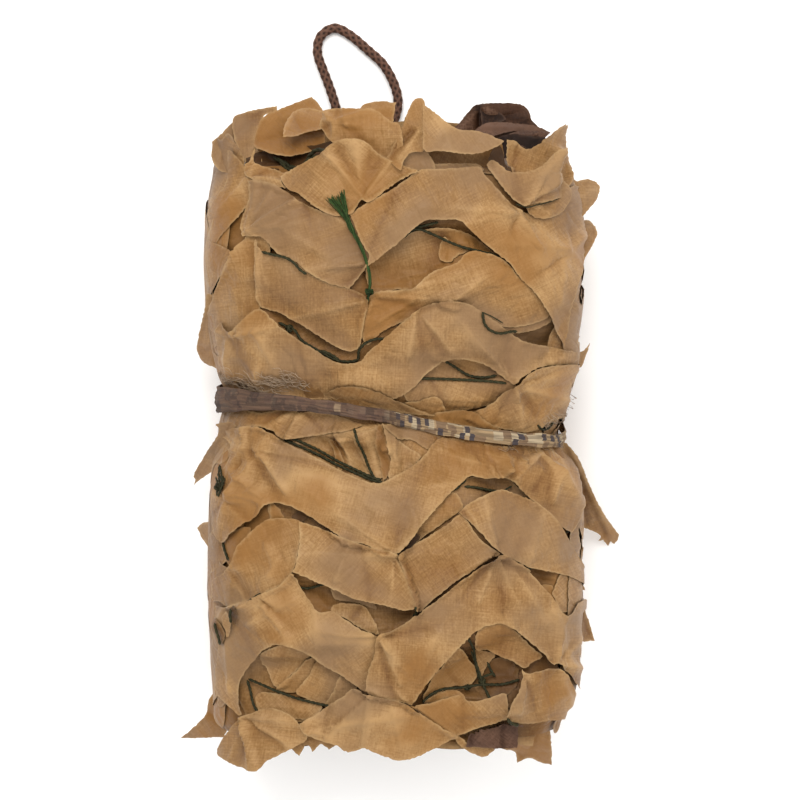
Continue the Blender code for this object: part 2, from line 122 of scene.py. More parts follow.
def make_studio():
    """The lights, a pale sky and a white floor that is stage, not part of the piece."""
    for name, light in LIGHTS.items():
        make_light(name, **light)
    world = bpy.data.worlds.new("studio")
    world.use_nodes = True
    sky = world.node_tree.nodes["Background"]
    sky.inputs["Color"].default_value = SKY_COLOUR
    sky.inputs["Strength"].default_value = SKY_STRENGTH
    SCENE.world = world
    SCENE.view_settings.view_transform = "Standard"
    corners = [(x * FLOOR_REACH, y * FLOOR_REACH, 0) for x, y in ((-1, -1), (1, -1), (1, 1), (-1, 1))]
    mesh = bpy.data.meshes.new("floor")
    mesh.from_pydata(corners, [], [(0, 1, 2, 3)])
    mesh.materials.append(plain_material("floor", FLOOR_COLOUR, FLOOR_ROUGHNESS))
    floor = bpy.data.objects.new("floor", mesh)
    SCENE.collection.objects.link(floor)


# ---------------------------------------------------------------- materials
# Colours are linear. A cloth goes from dim by tan to pale with its tone, to amber or mauve with its hue, to
# edge along a cut and to deep in the dark. Deep, and the dim and amber in the hollows, are painted shade;
# the pale edge is partly the frayed cut's own colour and partly a painted highlight.
GARNISH_COLOURS = dict(
    tan=(0.206, 0.108, 0.037), pale=(0.318, 0.189, 0.080), dim=(0.120, 0.053, 0.015),
    amber=(0.204, 0.092, 0.022), mauve=(0.178, 0.104, 0.051), edge=(0.345, 0.228, 0.108),
    deep=(0.034, 0.014, 0.004),
)
BROWN_COLOURS = dict(
    tan=(0.040, 0.0175, 0.0085), pale=(0.105, 0.055, 0.034), dim=(0.010, 0.0036, 0.0016),
    amber=(0.044, 0.018, 0.009), mauve=(0.048, 0.025, 0.018), edge=(0.10, 0.055, 0.036),
    deep=(0.003, 0.0012, 0.0006),
)
# A twine's dark and light colour and how many of its grains go into a metre
TWINES = {
    "braided_cord": dict(dark=(0.0127, 0.0063, 0.0043), light=(0.1197, 0.0599, 0.0399), scale=900.0),
    "net_twine": dict(dark=(0.0068, 0.0060, 0.0020), light=(0.034, 0.032, 0.013), scale=1200.0),
    "tuft_twine": dict(dark=(0.0060, 0.013, 0.0038), light=(0.036, 0.066, 0.017), scale=1200.0),
    "strap_thread": dict(dark=(0.10, 0.062, 0.038), light=(0.34, 0.25, 0.17), scale=700.0),
}
BEIGE, BROWN = (0.264, 0.179, 0.096), (0.154, 0.096, 0.054)
CREAM, SLATE = (0.336, 0.264, 0.171), (0.036, 0.031, 0.037)
SHADED, DARK_SHADED, PALE_SHADED = (0.078, 0.042, 0.029), (0.042, 0.024, 0.019), (0.214, 0.143, 0.086)
# The strap's crease colour is painted shade along its folds.
STRAP_CREASE_SHADE, STRAP_FIBRE = (0.025, 0.016, 0.013), (0.171, 0.129, 0.093)
# How fine a cloth's unevenness is across and along it, in features a metre
WARP, WEFT, CRUMPLE, VALLEYS = (1500, 70, 1), (70, 1500, 1), (110, 170, 1), (48, 82, 1)
STRAP_WEAVE, STRAP_LINES = (1900, 1900, 1), (38, 900, 1)
SHEEN_ROUGHNESS = 0.45


class Nodes:
    """A short way to write a material's nodes."""

    def __init__(self, name):
        self.material = bpy.data.materials.new(name)
        self.material.use_nodes = True
        self.tree = self.material.node_tree
        self.shader = self.tree.nodes["Principled BSDF"]

    def set(self, node, key, value):
        socket = node.inputs[key]
        if isinstance(value, bpy.types.NodeSocket):
            self.tree.links.new(value, socket)
        else:
            socket.default_value = value

    def add(self, kind, inputs, **settings):
        node = self.tree.nodes.new(kind)
        for key, value in settings.items():
            setattr(node, key, value)
        for key, value in inputs.items():
            self.set(node, key, value)
        return node

    def attribute(self, name):
        return self.add("ShaderNodeAttribute", {}, attribute_name=name).outputs["Fac"]

    def flat_place(self):
        return self.add("ShaderNodeUVMap", {}, uv_map="cloth").outputs["UV"]

    def place(self):
        return self.add("ShaderNodeTexCoord", {}).outputs["Object"]

    def noise(self, vector, scale, detail=2.0, roughness=0.5):
        inputs = {"Vector": vector, "Scale": scale, "Detail": detail, "Roughness": roughness}
        return self.add("ShaderNodeTexNoise", inputs).outputs["Fac"]

    def stretched(self, vector, scale):
        return self.add("ShaderNodeMapping", {"Vector": vector, "Scale": scale}).outputs["Vector"]

    def math(self, operation, a, b=0.0):
        return self.add("ShaderNodeMath", {0: a, 1: b}, operation=operation).outputs[0]

    def ranged(self, value, low, high, to_low=0.0, to_high=1.0):
        inputs = {"Value": value, "From Min": low, "From Max": high, "To Min": to_low, "To Max": to_high}
        return self.add("ShaderNodeMapRange", inputs).outputs["Result"]

    def mix(self, share, a, b):
        a, b = ((*c, 1) if isinstance(c, tuple) else c for c in (a, b))
        return self.add("ShaderNodeMix", {0: share, 6: a, 7: b}, data_type="RGBA").outputs[2]

    def bump(self, height, distance, strength, under=None):
        inputs = {"Height": height, "Distance": distance, "Strength": strength}
        if under is not None:
            inputs["Normal"] = under
        return self.add("ShaderNodeBump", inputs).outputs["Normal"]

    def finish(self, colour, roughness, normal, sheen=0.0, specular=0.12):
        self.set(self.shader, "Base Color", colour)
        self.set(self.shader, "Roughness", roughness)
        self.set(self.shader, "Normal", normal)
        self.shader.inputs["Sheen Weight"].default_value = sheen
        self.shader.inputs["Sheen Roughness"].default_value = SHEEN_ROUGHNESS
        self.shader.inputs["Specular IOR Level"].default_value = specular
        return self.material


def plain_material(name, colour, roughness):
    nodes = Nodes(name)
    nodes.shader.inputs["Base Color"].default_value = (*colour, 1)
    nodes.shader.inputs["Roughness"].default_value = roughness
    return nodes.material


def cloth_material(name, sheen, specular, tan, pale, dim, amber, mauve, edge, deep):
    """Thin satin woven polyester: uneven colour, a fine weave, soft crumples and pale cut edges, with light
    and shade painted in as the tone, hue and depth say.
    """
    nodes = Nodes(name)
    flat, place = nodes.flat_place(), nodes.place()
    warp = nodes.noise(nodes.stretched(flat, WARP), 1.0, 2.0, 0.6)
    weft = nodes.noise(nodes.stretched(flat, WEFT), 1.0, 2.0, 0.6)
    weave = nodes.math("MULTIPLY", nodes.math("ADD", warp, weft), 0.5)
    crumple = nodes.noise(nodes.stretched(flat, CRUMPLE), 1.0, 3.0, 0.55)
    valley = nodes.noise(nodes.stretched(flat, VALLEYS), 1.0, 2.5, 0.5)
    creases = nodes.ranged(nodes.math("ABSOLUTE", nodes.math("SUBTRACT", valley, 0.5)), 0.0, 0.09)
    cloud = nodes.ranged(nodes.noise(place, 30.0, 3.0, 0.6), 0.3, 0.7, -0.55, 0.55)
    fine = nodes.math("ADD", nodes.ranged(weave, 0.35, 0.65, -0.4, 0.4),
                      nodes.ranged(nodes.noise(flat, 900.0, 2.0), 0.3, 0.7, -0.3, 0.3))
    # The tone carries random unevenness and painted light and shade: paler ridges, darker creases.
    tone = nodes.math("ADD", nodes.math("ADD", nodes.attribute("tone"), cloud), fine)
    colour = nodes.mix(nodes.ranged(tone, -1.0, 0.0), dim, tan)
    colour = nodes.mix(nodes.ranged(tone, 0.0, 1.0), colour, pale)
    stain = nodes.ranged(nodes.noise(place, 24.0, 2.0), 0.32, 0.68, -1.1, 1.1)
    hue = nodes.math("ADD", nodes.attribute("hue"), stain)
    colour = nodes.mix(nodes.ranged(hue, 0.0, 1.0, 0.0, 0.75), colour, amber)
    colour = nodes.mix(nodes.ranged(hue, -1.0, 0.0, 0.75, 0.0), colour, mauve)
    # The pale cut edge: partly the frayed cut's own colour and partly a painted highlight.
    pale_edge = nodes.ranged(nodes.noise(place, 90.0, 2.0), 0.35, 0.62, 0.12, 0.6)
    colour = nodes.mix(nodes.math("MULTIPLY", nodes.attribute("edge"), pale_edge), colour, edge)
    # Painted shade: towards deep as the depth says, in hollows, gaps and inside the roll.
    colour = nodes.mix(nodes.attribute("depth"), colour, deep)
    normal = nodes.bump(creases, 0.0012, 0.35, nodes.bump(crumple, 0.001, 0.38))
    normal = nodes.bump(weave, 0.0002, 0.5, normal)
    return nodes.finish(colour, nodes.ranged(crumple, 0.2, 0.8, 0.5, 0.64), normal, sheen, specular)


def twine_material(name):
    """Matt fibres, darker between the strands as painted shade, as the tone says."""
    dark, light, scale = TWINES[name].values()
    nodes = Nodes(name)
    grain = nodes.noise(nodes.place(), scale, 2.0, 0.6)
    share = nodes.ranged(nodes.math("ADD", nodes.attribute("tone"), grain), 0.3, 1.3)
    return nodes.finish(nodes.mix(share, dark, light), 0.62, nodes.bump(grain, 0.0003, 0.4))


def strap_material():
    """Matt woven strap cloth with a generic print of square blocks in beige, cream, slate and brown, its
    shaded brown back where the depth says so, and dark streaks of painted shade along its folds."""
    nodes = Nodes("strap_print")
    flat = nodes.flat_place()

    def blocks(size, shift):
        """A random value for each square of a size in metres, on a grid moved by shift."""
        moved = nodes.add("ShaderNodeVectorMath", {0: flat, 1: (shift, shift * 1.7, 0)}, operation="ADD")
        cells = {0: moved.outputs[0], 1: (size, size, 1)}
        snapped = nodes.add("ShaderNodeVectorMath", cells, operation="SNAP")
        cell = nodes.add("ShaderNodeTexWhiteNoise", {"Vector": snapped.outputs[0]}, noise_dimensions="2D")
        return cell.outputs["Value"]

    weave = nodes.noise(nodes.stretched(flat, STRAP_WEAVE), 1.0, 2.0, 0.6)
    lines = nodes.noise(nodes.stretched(flat, STRAP_LINES), 1.0, 3.0, 0.6)
    spread = nodes.math("ADD", blocks(0.0058, 0.031), nodes.math("MULTIPLY", blocks(0.0019, 0.087), 0.5))
    colour = nodes.mix(nodes.ranged(spread, 0.80, 0.81), BEIGE, BROWN)
    colour = nodes.mix(nodes.ranged(blocks(0.0042, 0.29), 0.80, 0.81), colour, CREAM)
    colour = nodes.mix(nodes.ranged(blocks(0.0031, 0.053), 0.84, 0.85), colour, SLATE)
    dull = nodes.mix(nodes.ranged(spread, 0.95, 0.96), SHADED, DARK_SHADED)
    dull = nodes.mix(nodes.ranged(blocks(0.0037, 0.41), 0.965, 0.97), dull, PALE_SHADED)
    colour = nodes.mix(nodes.attribute("depth"), colour, dull)
    # Dark streaks of painted shade along the strap's folds.
    colour = nodes.mix(nodes.ranged(lines, 0.42, 0.56, 0.55, 0.0), colour, STRAP_CREASE_SHADE)
    colour = nodes.mix(nodes.ranged(weave, 0.3, 0.8, 0.0, 0.2), colour, STRAP_FIBRE)
    return nodes.finish(colour, 0.78, nodes.bump(weave, 0.0003, 0.5))


# ---------------------------------------------------------------- the roll's surface, from the frame
LOW, HIGH = (Vector(c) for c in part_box("net_roll"))
AXIS_HEIGHT = 0.47  # of the roll's height
AXIS_X, AXIS_Z = (LOW.x + HIGH.x) / 2, HIGH.z * AXIS_HEIGHT
Y_STEP = 0.002
BODY_FROM, BODY_TO = -0.157, 0.153
ANGLES = np.radians(np.arange(0, 360, 1.0))
BODY_Y = np.arange(BODY_FROM, BODY_TO + 1e-6, Y_STEP)
SKIRT = 0.018  # how far the outer cloth may reach past either end
SKIRT_DROOP = 26.0  # how fast it falls in there, a metre
FLOOR_GAP = 0.0004
INSIDE_END = 0.001  # how far inside the ends the end rows are measured
NO_HIT_RADIUS, FAR_OUT = 0.06, 0.3
CLOSE_REACH, SMOOTH_REACH = (10, 7), (4, 3)  # in degrees round the roll and rows along it
GROOVE_DEPTH, GROOVE_HALF = 0.0034, 0.009  # the cloth drawn in under the strap
NEAR_TURN = 0.09  # more than the turn between two rows of the solid strap's points
SEEN_BLEND = math.radians(25)  # how far past what is seen the strap keeps near its seen course
STRAP_REACH = 0.017  # how far from its middle the strap draws the cloth in
LOWEST_MM = -7.0  # no cloth lies lower than this under the strap
UNDER_STRAP_MM = 0.8  # the cloth under the strap ends this far inside it
PLEAT_MM, PLEAT_AT, PLEAT_HALF = 2.0, 0.75, 0.55  # their height, and where they are, in reaches of the strap
PLEAT_END = 2.4
LEFT_PRESS = 0.6  # the share of its height that the cloth loses at the roll's left side, which is taut
LEFT_FROM, LEFT_OVER = 0.80, 0.15  # where that starts and over how far, in half widths of the roll

# the strap's middle on the view grid, from the left side to the right
STRAP_COURSE = [
    (219, 399), (250, 399), (300, 402), (350, 409), (400, 419), (450, 430), (500, 437), (560, 441),
]


def tree_of(obj):
    mesh = obj.data
    return BVHTree.FromPolygons([v.co for v in mesh.vertices], [tuple(p.vertices) for p in mesh.polygons])


def radius_at(tree, angle, y):
    """How far from the roll's axis a surface lies, met from outside."""
    out = Vector((math.cos(angle), 0, math.sin(angle)))
    hit = tree.ray_cast(Vector((AXIS_X, y, AXIS_Z)) + out * FAR_OUT, -out, FAR_OUT)
    return NO_HIT_RADIUS if hit[0] is None else FAR_OUT - hit[3]


def windowed(grid, axis, reach, how):
    """A padded grid, each value worked out from those around it along one axis."""
    size = grid.shape[axis] - 2 * reach
    return how(np.stack([np.take(grid, range(k, k + size), axis=axis) for k in range(2 * reach + 1)]), axis=0)


def filtered(grid, reach, how):
    """A grid over the roll, each value worked out from those around it."""
    reach_angle, reach_y = reach
    grid = np.pad(grid, ((reach_y, reach_y), (0, 0)), mode="edge")
    grid = np.concatenate([grid[:, -reach_angle:], grid, grid[:, :reach_angle]], axis=1)
    return windowed(windowed(grid, 0, reach_y, how), 1, reach_angle, how)


def axis_angle(point):
    """The angle round the roll's axis at which a point lies, from the right side by way of the top."""
    return math.atan2(point.z - AXIS_Z, point.x - AXIS_X) % math.tau


def wrapped(grid, angle, y):
    """A value of a grid over the roll, smoothly between its points."""
    row = min(max((y - BODY_FROM) / Y_STEP, 0), len(BODY_Y) - 1.001)
    column = math.degrees(angle) % 360
    r, c = int(row), int(column) % 360
    down, over, d = row - r, column - int(column), (c + 1) % 360
    first = (1 - over) * grid[r, c] + over * grid[r, d]
    second = (1 - over) * grid[r + 1, c] + over * grid[r + 1, d]
    return (1 - down) * first + down * second


def on_axis(angle, y, radius):
    """The point at an angle, a place along the roll and a radius: over the floor, drawn in past the ends."""
    past = max(0.0, BODY_FROM - y, y - BODY_TO)
    radius -= past * past * SKIRT_DROOP
    point = Vector((AXIS_X + radius * math.cos(angle), y, AXIS_Z + radius * math.sin(angle)))
    point.z = max(point.z, FLOOR_GAP)
    return point


def quads(rows, columns, around=False, over=False):
    """The faces of a grid of points; around joins its last column to its first, and over its last row."""
    return [
        (r * columns + c, r * columns + d, s * columns + d, s * columns + c)
        for r, s in zip(range(rows if over else rows - 1), [*range(1, rows), 0])
        for c, d in zip(range(columns if around else columns - 1), [*range(1, columns), 0])
    ]


def surface_tree(grid):
    """The surface that a grid of radii gives, past both ends too, for rays to meet."""
    ys = np.arange(BODY_FROM - SKIRT, BODY_TO + SKIRT, Y_STEP)
    points = [on_axis(a, y, wrapped(grid, a, y)) for y in ys for a in ANGLES]
    return BVHTree.FromPolygons(points, quads(len(ys), len(ANGLES), around=True))


def seen_on(tree, px, py):
    """Where a surface is seen at a step of the view grid, and which way it faces."""
    ray = view_ray(px, py)
    hit = tree.ray_cast(EYE, ray.normalized())
    if hit[0] is None:
        hit = tree.find_nearest(EYE + ray * 1.01)
    return (hit[0], hit[1]) if hit[1].dot(ray) < 0 else (hit[0], -hit[1])


# The solid's radius, then the radius of what a taut cloth round it would follow
ROLL = tree_of(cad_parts["net_roll"])
MEASURED_Y = np.clip(BODY_Y, BODY_FROM + INSIDE_END, BODY_TO - INSIDE_END)
RAW = np.array([[radius_at(ROLL, a, y) for a in ANGLES] for y in MEASURED_Y])
CLOSED = filtered(filtered(RAW, CLOSE_REACH, np.max), CLOSE_REACH, np.min)
OUTER = filtered(CLOSED, SMOOTH_REACH, np.mean)


def strap_line():
    """How far along the roll the strap's middle lies at each angle: as seen, then as the solid strap."""
    tree = surface_tree(OUTER)
    seen = [seen_on(tree, px, py)[0] for px, py in STRAP_COURSE]
    seen_angles = [axis_angle(p) for p in seen]
    points = [v.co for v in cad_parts["strap"].data.vertices]
    solid = []
    for angle in ANGLES:
        near = [p.y for p in points if abs(math.sin((axis_angle(p) - angle) / 2)) < NEAR_TURN]
        solid.append((min(near) + max(near)) / 2)
    line = []
    for angle, y in zip(ANGLES, solid):
        turned = (angle + math.pi / 2) % math.tau - math.pi / 2  # from -90 to 270 degrees
        inside = min(turned - seen_angles[-1], seen_angles[0] - turned)
        share = min(1, max(0, 1 + inside / SEEN_BLEND))
        seen_y = np.interp(turned, seen_angles[::-1], [p.y for p in seen[::-1]])
        line.append(y + (seen_y - y) * share * share * (3 - 2 * share))
    return np.array(line)


def strap_radii():
    """How far from the roll's axis the solid strap's outside lies at each angle."""
    points = [v.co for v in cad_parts["strap"].data.vertices]
    radii = []
    for angle in ANGLES:
        near = [p for p in points if abs(math.sin((axis_angle(p) - angle) / 2)) < NEAR_TURN]
        radii.append(max(math.hypot(p.x - AXIS_X, p.z - AXIS_Z) for p in near))
    radii = np.concatenate([radii[-4:], radii, radii[:4]])
    return np.convolve(radii, np.ones(9) / 9, mode="valid")


STRAP_LINE, STRAP_RADII = strap_line(), strap_radii()
FROM_STRAP = np.abs(BODY_Y[:, None] - STRAP_LINE[None, :])
OUTER = OUTER - GROOVE_DEPTH * np.exp(-((FROM_STRAP / GROOVE_HALF) ** 2))
OUTER_TREE = surface_tree(OUTER)


def pleat(angle, y):
    """The small sharp pleats that run to the strap, as a share of their height."""
    across = noise.noise(Vector((angle * 16, y * 14, 3)))
    return 0.28 - abs(across) + 0.4 * noise.noise(Vector((angle * 37, y * 40, 8)))


def drawn_in(point, lift_mm):
    """A height off the roll, pleated and pressed under the strap near it, with the layers' order kept."""
    angle = axis_angle(point)
    column = round(math.degrees(angle)) % 360
    away = abs(point.y - STRAP_LINE[column]) / STRAP_REACH
    if away < PLEAT_END:
        lift_mm += PLEAT_MM * pleat(angle, point.y) * math.exp(-((away - PLEAT_AT) / PLEAT_HALF) ** 2)
    if away >= 1:
        return lift_mm
    free = away * away * (3 - 2 * away)
    limit = (STRAP_RADII[column] - wrapped(OUTER, angle, point.y)) / MM - UNDER_STRAP_MM
    pressed = limit - (limit - LOWEST_MM) * math.exp(-(lift_mm - LOWEST_MM) / (limit - LOWEST_MM))
    return lift_mm * free + pressed * (1 - free)


def on_roll(px, py, lift_mm):
    """The roll's outer surface at a step of the view grid, lifted off it."""
    point, normal = seen_on(OUTER_TREE, px, py)
    leftness = min(1.0, max(0.0, (AXIS_X - point.x) / (AXIS_X - LOW.x) - LEFT_FROM) / LEFT_OVER)
    lift_mm = drawn_in(point, lift_mm) * (1 - LEFT_PRESS * leftness * (lift_mm > 0))
    out = Vector((point.x - AXIS_X, 0, point.z - AXIS_Z)).normalized()
    return point + (normal + out).normalized() * (lift_mm * MM)


def at_height(px, py, z_mm):
    """Where a step of the view grid meets a height over the floor."""
    ray = view_ray(px, py)
    point = EYE + ray * ((z_mm * MM - EYE.z) / ray.z)
    point.z = max(point.z, FLOOR_GAP)
    return point


# ---------------------------------------------------------------- flat plans that pieces are laid on
LAYER_GAP = 0.45  # between one cloth and the next, in millimetres
BARE = -30.0  # a plan's height where there is nothing yet
PLAN_MARGIN = 12
SEEN_ROWS, SEEN_COLUMNS, SEEN_STEP = (60, VIEW_STEPS), (150, 650), 5  # the part of the view with the roll


def shifted(grid, reach, how):
    """A flat grid, each value worked out from those around it."""
    for axis in (0, 1):
        margins = [(reach, reach) if a == axis else (0, 0) for a in (0, 1)]
        grid = windowed(np.pad(grid, margins, mode="edge"), axis, reach, how)
    return grid


class Plan:
    """A flat plan of the roll's surface that keeps how high the cloth laid on it has come."""

    def __init__(self, columns, rows, step_mm, place, faces_up):
        self.step_mm, self.place, self.faces_up = step_mm, place, faces_up
        self.top = np.full((rows, columns), BARE)

    def cells(self, points):
        """The rows and columns of the plan that some points fall on."""
        column = np.clip(np.round(points[:, 0]).astype(int), 1, self.top.shape[1] - 2)
        row = np.clip(np.round(points[:, 1]).astype(int), 1, self.top.shape[0] - 2)
        return row, column

    def under(self, points):
        """How high the cloth already is at some points, with its steps softened."""
        row, column = self.cells(points)
        r0, c0 = max(row.min() - PLAN_MARGIN, 0), max(column.min() - PLAN_MARGIN, 0)
        part = self.top[r0:row.max() + PLAN_MARGIN, c0:column.max() + PLAN_MARGIN]
        reach = max(1, round(1.0 / self.step_mm))
        high = shifted(part, reach, np.max)
        soft = shifted(shifted(high, 3 * reach, np.mean), 2 * reach, np.mean)
        return np.maximum(soft, high)[row - r0, column - c0]

    def pile(self, points, lifts, reach=1):
        """Keep how high what is laid at some points comes."""
        row, column = self.cells(points)
        for down in range(-reach, reach + 1):
            for over in range(-reach, reach + 1):
                r = np.clip(row + down, 0, self.top.shape[0] - 1)
                c = np.clip(column + over, 0, self.top.shape[1] - 1)
                np.maximum.at(self.top, (r, c), lifts)


def make_view_plan():
    """The front's plan on the view grid, with the solid roll laid on it."""
    plan = Plan(VIEW_STEPS, VIEW_STEPS, VIEW_STEP_MM, on_roll, faces_up=False)
    for row in range(*SEEN_ROWS, SEEN_STEP):
        for column in range(*SEEN_COLUMNS, SEEN_STEP):
            hit = OUTER_TREE.ray_cast(EYE, view_ray(column, row).normalized())
            if hit[0] is None:
                continue
            angle = axis_angle(hit[0])
            inner = wrapped(RAW, angle, hit[0].y) - wrapped(OUTER, angle, hit[0].y)
            plan.top[row:row + SEEN_STEP, column:column + SEEN_STEP] = inner / MM
    return plan


AROUND_MM = 560.0  # the plan's width round the roll, more than its girth
WRAP_ROWS = 380
WRAP_PAST = 0.007  # how far past the roll's ends the cloth round it may come
WRAP_HIGHEST, WRAP_LEFT = 2.6, 0.9  # the most that it stands off, all round and at the left, in millimetres
# Under the roll, from UNDER_HEIGHT down, the cloth sinks in by up to UNDER_SINK and stands off less, by its
# share of UNDER_FLAT
UNDER_SINK, UNDER_HEIGHT, UNDER_FLAT = 3.4, 0.008, 8
UPPER_SIDE = 0.022  # what lies this far over the axis counts as on the upper side


def wrap_angle(column):
    """The angle round the roll's axis of a column of the plan round it."""
    return (math.tau / 4 + column / AROUND_MM * math.tau) % math.tau


def on_wrap(column, row, lift_mm):
    """The roll's outer surface on the plan round it. Columns are millimetres of girth from the top's middle,
    by way of the left side; rows are millimetres along it."""
    angle = wrap_angle(column)
    y = min(max((row - WRAP_ROWS / 2) * MM, BODY_FROM - WRAP_PAST), BODY_TO + WRAP_PAST)
    radius = wrapped(OUTER, angle, y)
    lift_mm = drawn_in(on_axis(angle, y, radius), lift_mm)
    bottom = on_axis(angle, y, radius).z
    sink = UNDER_SINK * max(0.0, 1 - bottom / UNDER_HEIGHT)  # the layers lie inside the flat underside
    if lift_mm > 0:
        highest = WRAP_HIGHEST - (WRAP_HIGHEST - WRAP_LEFT) * max(0.0, -math.cos(angle)) ** 3
        lift_mm = highest * math.tanh(lift_mm / highest)
    return on_axis(angle, y, radius + (lift_mm * (1 - sink / UNDER_FLAT) - sink) * MM)


def make_wrap_plan():
    """The plan round the sides and the underside, with the solid roll laid on it."""
    plan = Plan(int(AROUND_MM) + 1, WRAP_ROWS, 1.0, on_wrap, faces_up=True)
    for row in range(WRAP_ROWS):
        y = (row - WRAP_ROWS / 2) * MM
        for column in range(plan.top.shape[1]):
            angle = wrap_angle(column)
            plan.top[row, column] = (wrapped(RAW, angle, y) - wrapped(OUTER, angle, y)) / MM
    return plan


def share_height(points, plan):
    """Keep in the view's plan how far off the roll some points on its upper side stand."""
    above = [p for p in points if p.z > AXIS_Z + UPPER_SIDE]
    places, lifts = [], []
    for point in above:
        radius = math.hypot(point.x - AXIS_X, point.z - AXIS_Z)
        y = min(max(point.y, BODY_FROM), BODY_TO)
        places.append(view_place(point))
        lifts.append((radius - wrapped(OUTER, axis_angle(point), y)) / MM)
    plan.pile(np.array(places), np.array(lifts), reach=3)


# ---------------------------------------------------------------- meshes with what their materials read
class Mesh:
    """Points and faces that pieces are added to, with the values that a material reads."""

    KEYS = ("tone", "hue", "edge", "depth")

    def __init__(self, name):
        self.name = name
        self.points, self.faces, self.flat = [], [], []
        self.values = {key: [] for key in self.KEYS}

    def add(self, points, faces, flat=None, **values):
        """Add points, faces, flat places and, for the whole or for each point, what the materials read."""
        first = len(self.points)
        self.points += points
        self.faces += [tuple(first + i for i in f) for f in faces]
        self.flat += [(0.0, 0.0)] * len(points) if flat is None else flat
        for key in self.KEYS:
            value = values.get(key, 0.0)
            many = hasattr(value, "__len__")
            self.values[key] += [float(v) for v in value] if many else [value] * len(points)

    def finish(self, material, slot, *nodes):
        """The mesh as a piece that rides on the part, hiding the nodes that it replaces. Its slot is not
        used.
        """
        mesh = bpy.data.meshes.new(self.name)
        mesh.from_pydata(self.points, [], self.faces)
        for key, values in self.values.items():
            mesh.attributes.new(key, "FLOAT", "POINT").data.foreach_set("value", values)
        corners = np.zeros(len(mesh.loops), int)
        mesh.loops.foreach_get("vertex_index", corners)
        layer = mesh.uv_layers.new(name="cloth")
        layer.data.foreach_set("uv", np.array(self.flat, float)[corners].ravel())
        mesh.shade_smooth()
        mesh.materials.append(material)
        made = bpy.data.objects.new(self.name, mesh)
        SCENE.collection.objects.link(made)
        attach(made, "root")
        if nodes:
            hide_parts(*nodes)
        return made


# ---------------------------------------------------------------- pieces of cut cloth
FRAY_MM = 0.22  # how uneven a cut edge is
ROW_SHARE, EDGE_CLEAR = 0.87, 0.6  # between rows of points and between them and the edge, in spacings
CREASE_ROOM = 0.5  # how far below its piece a crease may go, in millimetres
# Along the creases a ridge is paler, partly wear and partly a painted highlight, and a hollow darker, as
# painted shade.
CREASE_TONE = 0.55  # a ridge is paler and a hollow darker, by this much a millimetre
DARKEST, PALEST = -0.9, 0.7
FOLD_HIGHER, FOLD_WIDER = 1.3, 1.4  # every placed fold against its row's numbers
GATHER_MM = 2.1
# A pale cut edge is partly the frayed cut's own colour and partly a painted highlight.
CURL_WIDTH, EDGE_WIDTH = 1.6, 0.45  # how far in from the cut a piece curls up, and is pale, in millimetres
KNEE = 0.3  # how softly a piece bends from its own height to what it lies on
# The outer layers' greyer hue is a painted satin sheen.
OUTER_BASE, OUTER_HUE = 1.3, -0.12  # the cloth from this height out is greyer, by this much
SHADE_SPREAD = 0.1
GRAZE_FROM, GRAZE_OVER, GRAZE_ROUNDS = 0.86, 0.08, 2  # where the view grazes the roll, in half widths
MOST_ASIDE = 0.98


def smooth_outline(points, spacing):
    """A closed curve through the points, in millimetres, with a corner where a point has a third value."""
    count = len(points)
    fine = []
    for i in range(count):
        before, start, stop, after = (points[(i + k) % count] for k in (-1, 0, 1, 2))
        a, b = np.array(start[:2], float), np.array(stop[:2], float)
        out = (b - np.array(before[:2])) / 2 if len(start) == 2 else b - a
        into = (np.array(after[:2]) - a) / 2 if len(stop) == 2 else b - a
        steps = max(1, round(np.hypot(*(b - a)) / spacing))
        for step in range(steps):
            t = step / steps
            fine.append(
                a * (1 + 2 * t) * (1 - t) ** 2 + out * t * (1 - t) ** 2
                + b * t * t * (3 - 2 * t) + into * t * t * (t - 1)
            )
    return np.array(fine)


def outline_distance(points, outline):
    """How far each point is from a closed outline, and whether it lies inside."""
    a, b = outline, np.roll(outline, -1, axis=0)
    along = b - a
    away = points[:, None, :] - a[None]
    t = np.clip((away * along).sum(-1) / np.maximum((along * along).sum(-1), 1e-12), 0, 1)
    near = np.linalg.norm(away - t[..., None] * along, axis=-1).min(1)
    y, ay, by = points[:, None, 1], a[None, :, 1], b[None, :, 1]
    crosses = (ay > y) != (by > y)
    drop = np.where(np.abs(by - ay) < 1e-12, 1e-12, by - ay)
    x = a[None, :, 0] + (y - ay) / drop * (b[None, :, 0] - a[None, :, 0])
    inside = (crosses & (points[:, None, 0] < x)).sum(1) % 2 == 1
    return near, inside


def cut_cloth(outline, spacing):
    """Points and triangles that fill an outline, and each point's distance from the cut edge."""
    edge = smooth_outline(outline, spacing)
    edge = edge + RANDOM.uniform(-FRAY_MM, FRAY_MM, edge.shape)
    low, high = edge.min(0), edge.max(0)
    rows = np.arange(low[1], high[1], spacing * ROW_SHARE)
    grid = np.array([
        (x + (spacing / 2 if k % 2 else 0), y)
        for k, y in enumerate(rows)
        for x in np.arange(low[0], high[0], spacing)
    ])
    near, inside = outline_distance(grid, edge)
    points = np.concatenate([edge, grid[inside & (near > spacing * EDGE_CLEAR)]])
    made = geometry.delaunay_2d_cdt([Vector(p) for p in points], [], [list(range(len(edge)))], 1, 1e-5, False)
    flat = np.array([tuple(v) for v in made[0]])
    faces = np.array([tuple(f) for f in made[2] if len(f) == 3])
    inside = outline_distance(flat[faces].mean(axis=1), edge)[1]
    return flat, [tuple(int(i) for i in f) for f in faces[inside]], outline_distance(flat, edge)[0]


def billow(x, y, seed):
    """The soft unevenness of a crumpled sheet, in millimetres, at a place in millimetres."""
    big = noise.noise(Vector((x / 24, y / 24, seed)))
    ridge = 0.3 - abs(noise.noise(Vector((x / 17, y / 17, seed + 9))))
    small = 0.25 - abs(noise.noise(Vector((x / 7, y / 7, seed + 4))))
    return 1.7 * big + 2.6 * ridge + 0.9 * small


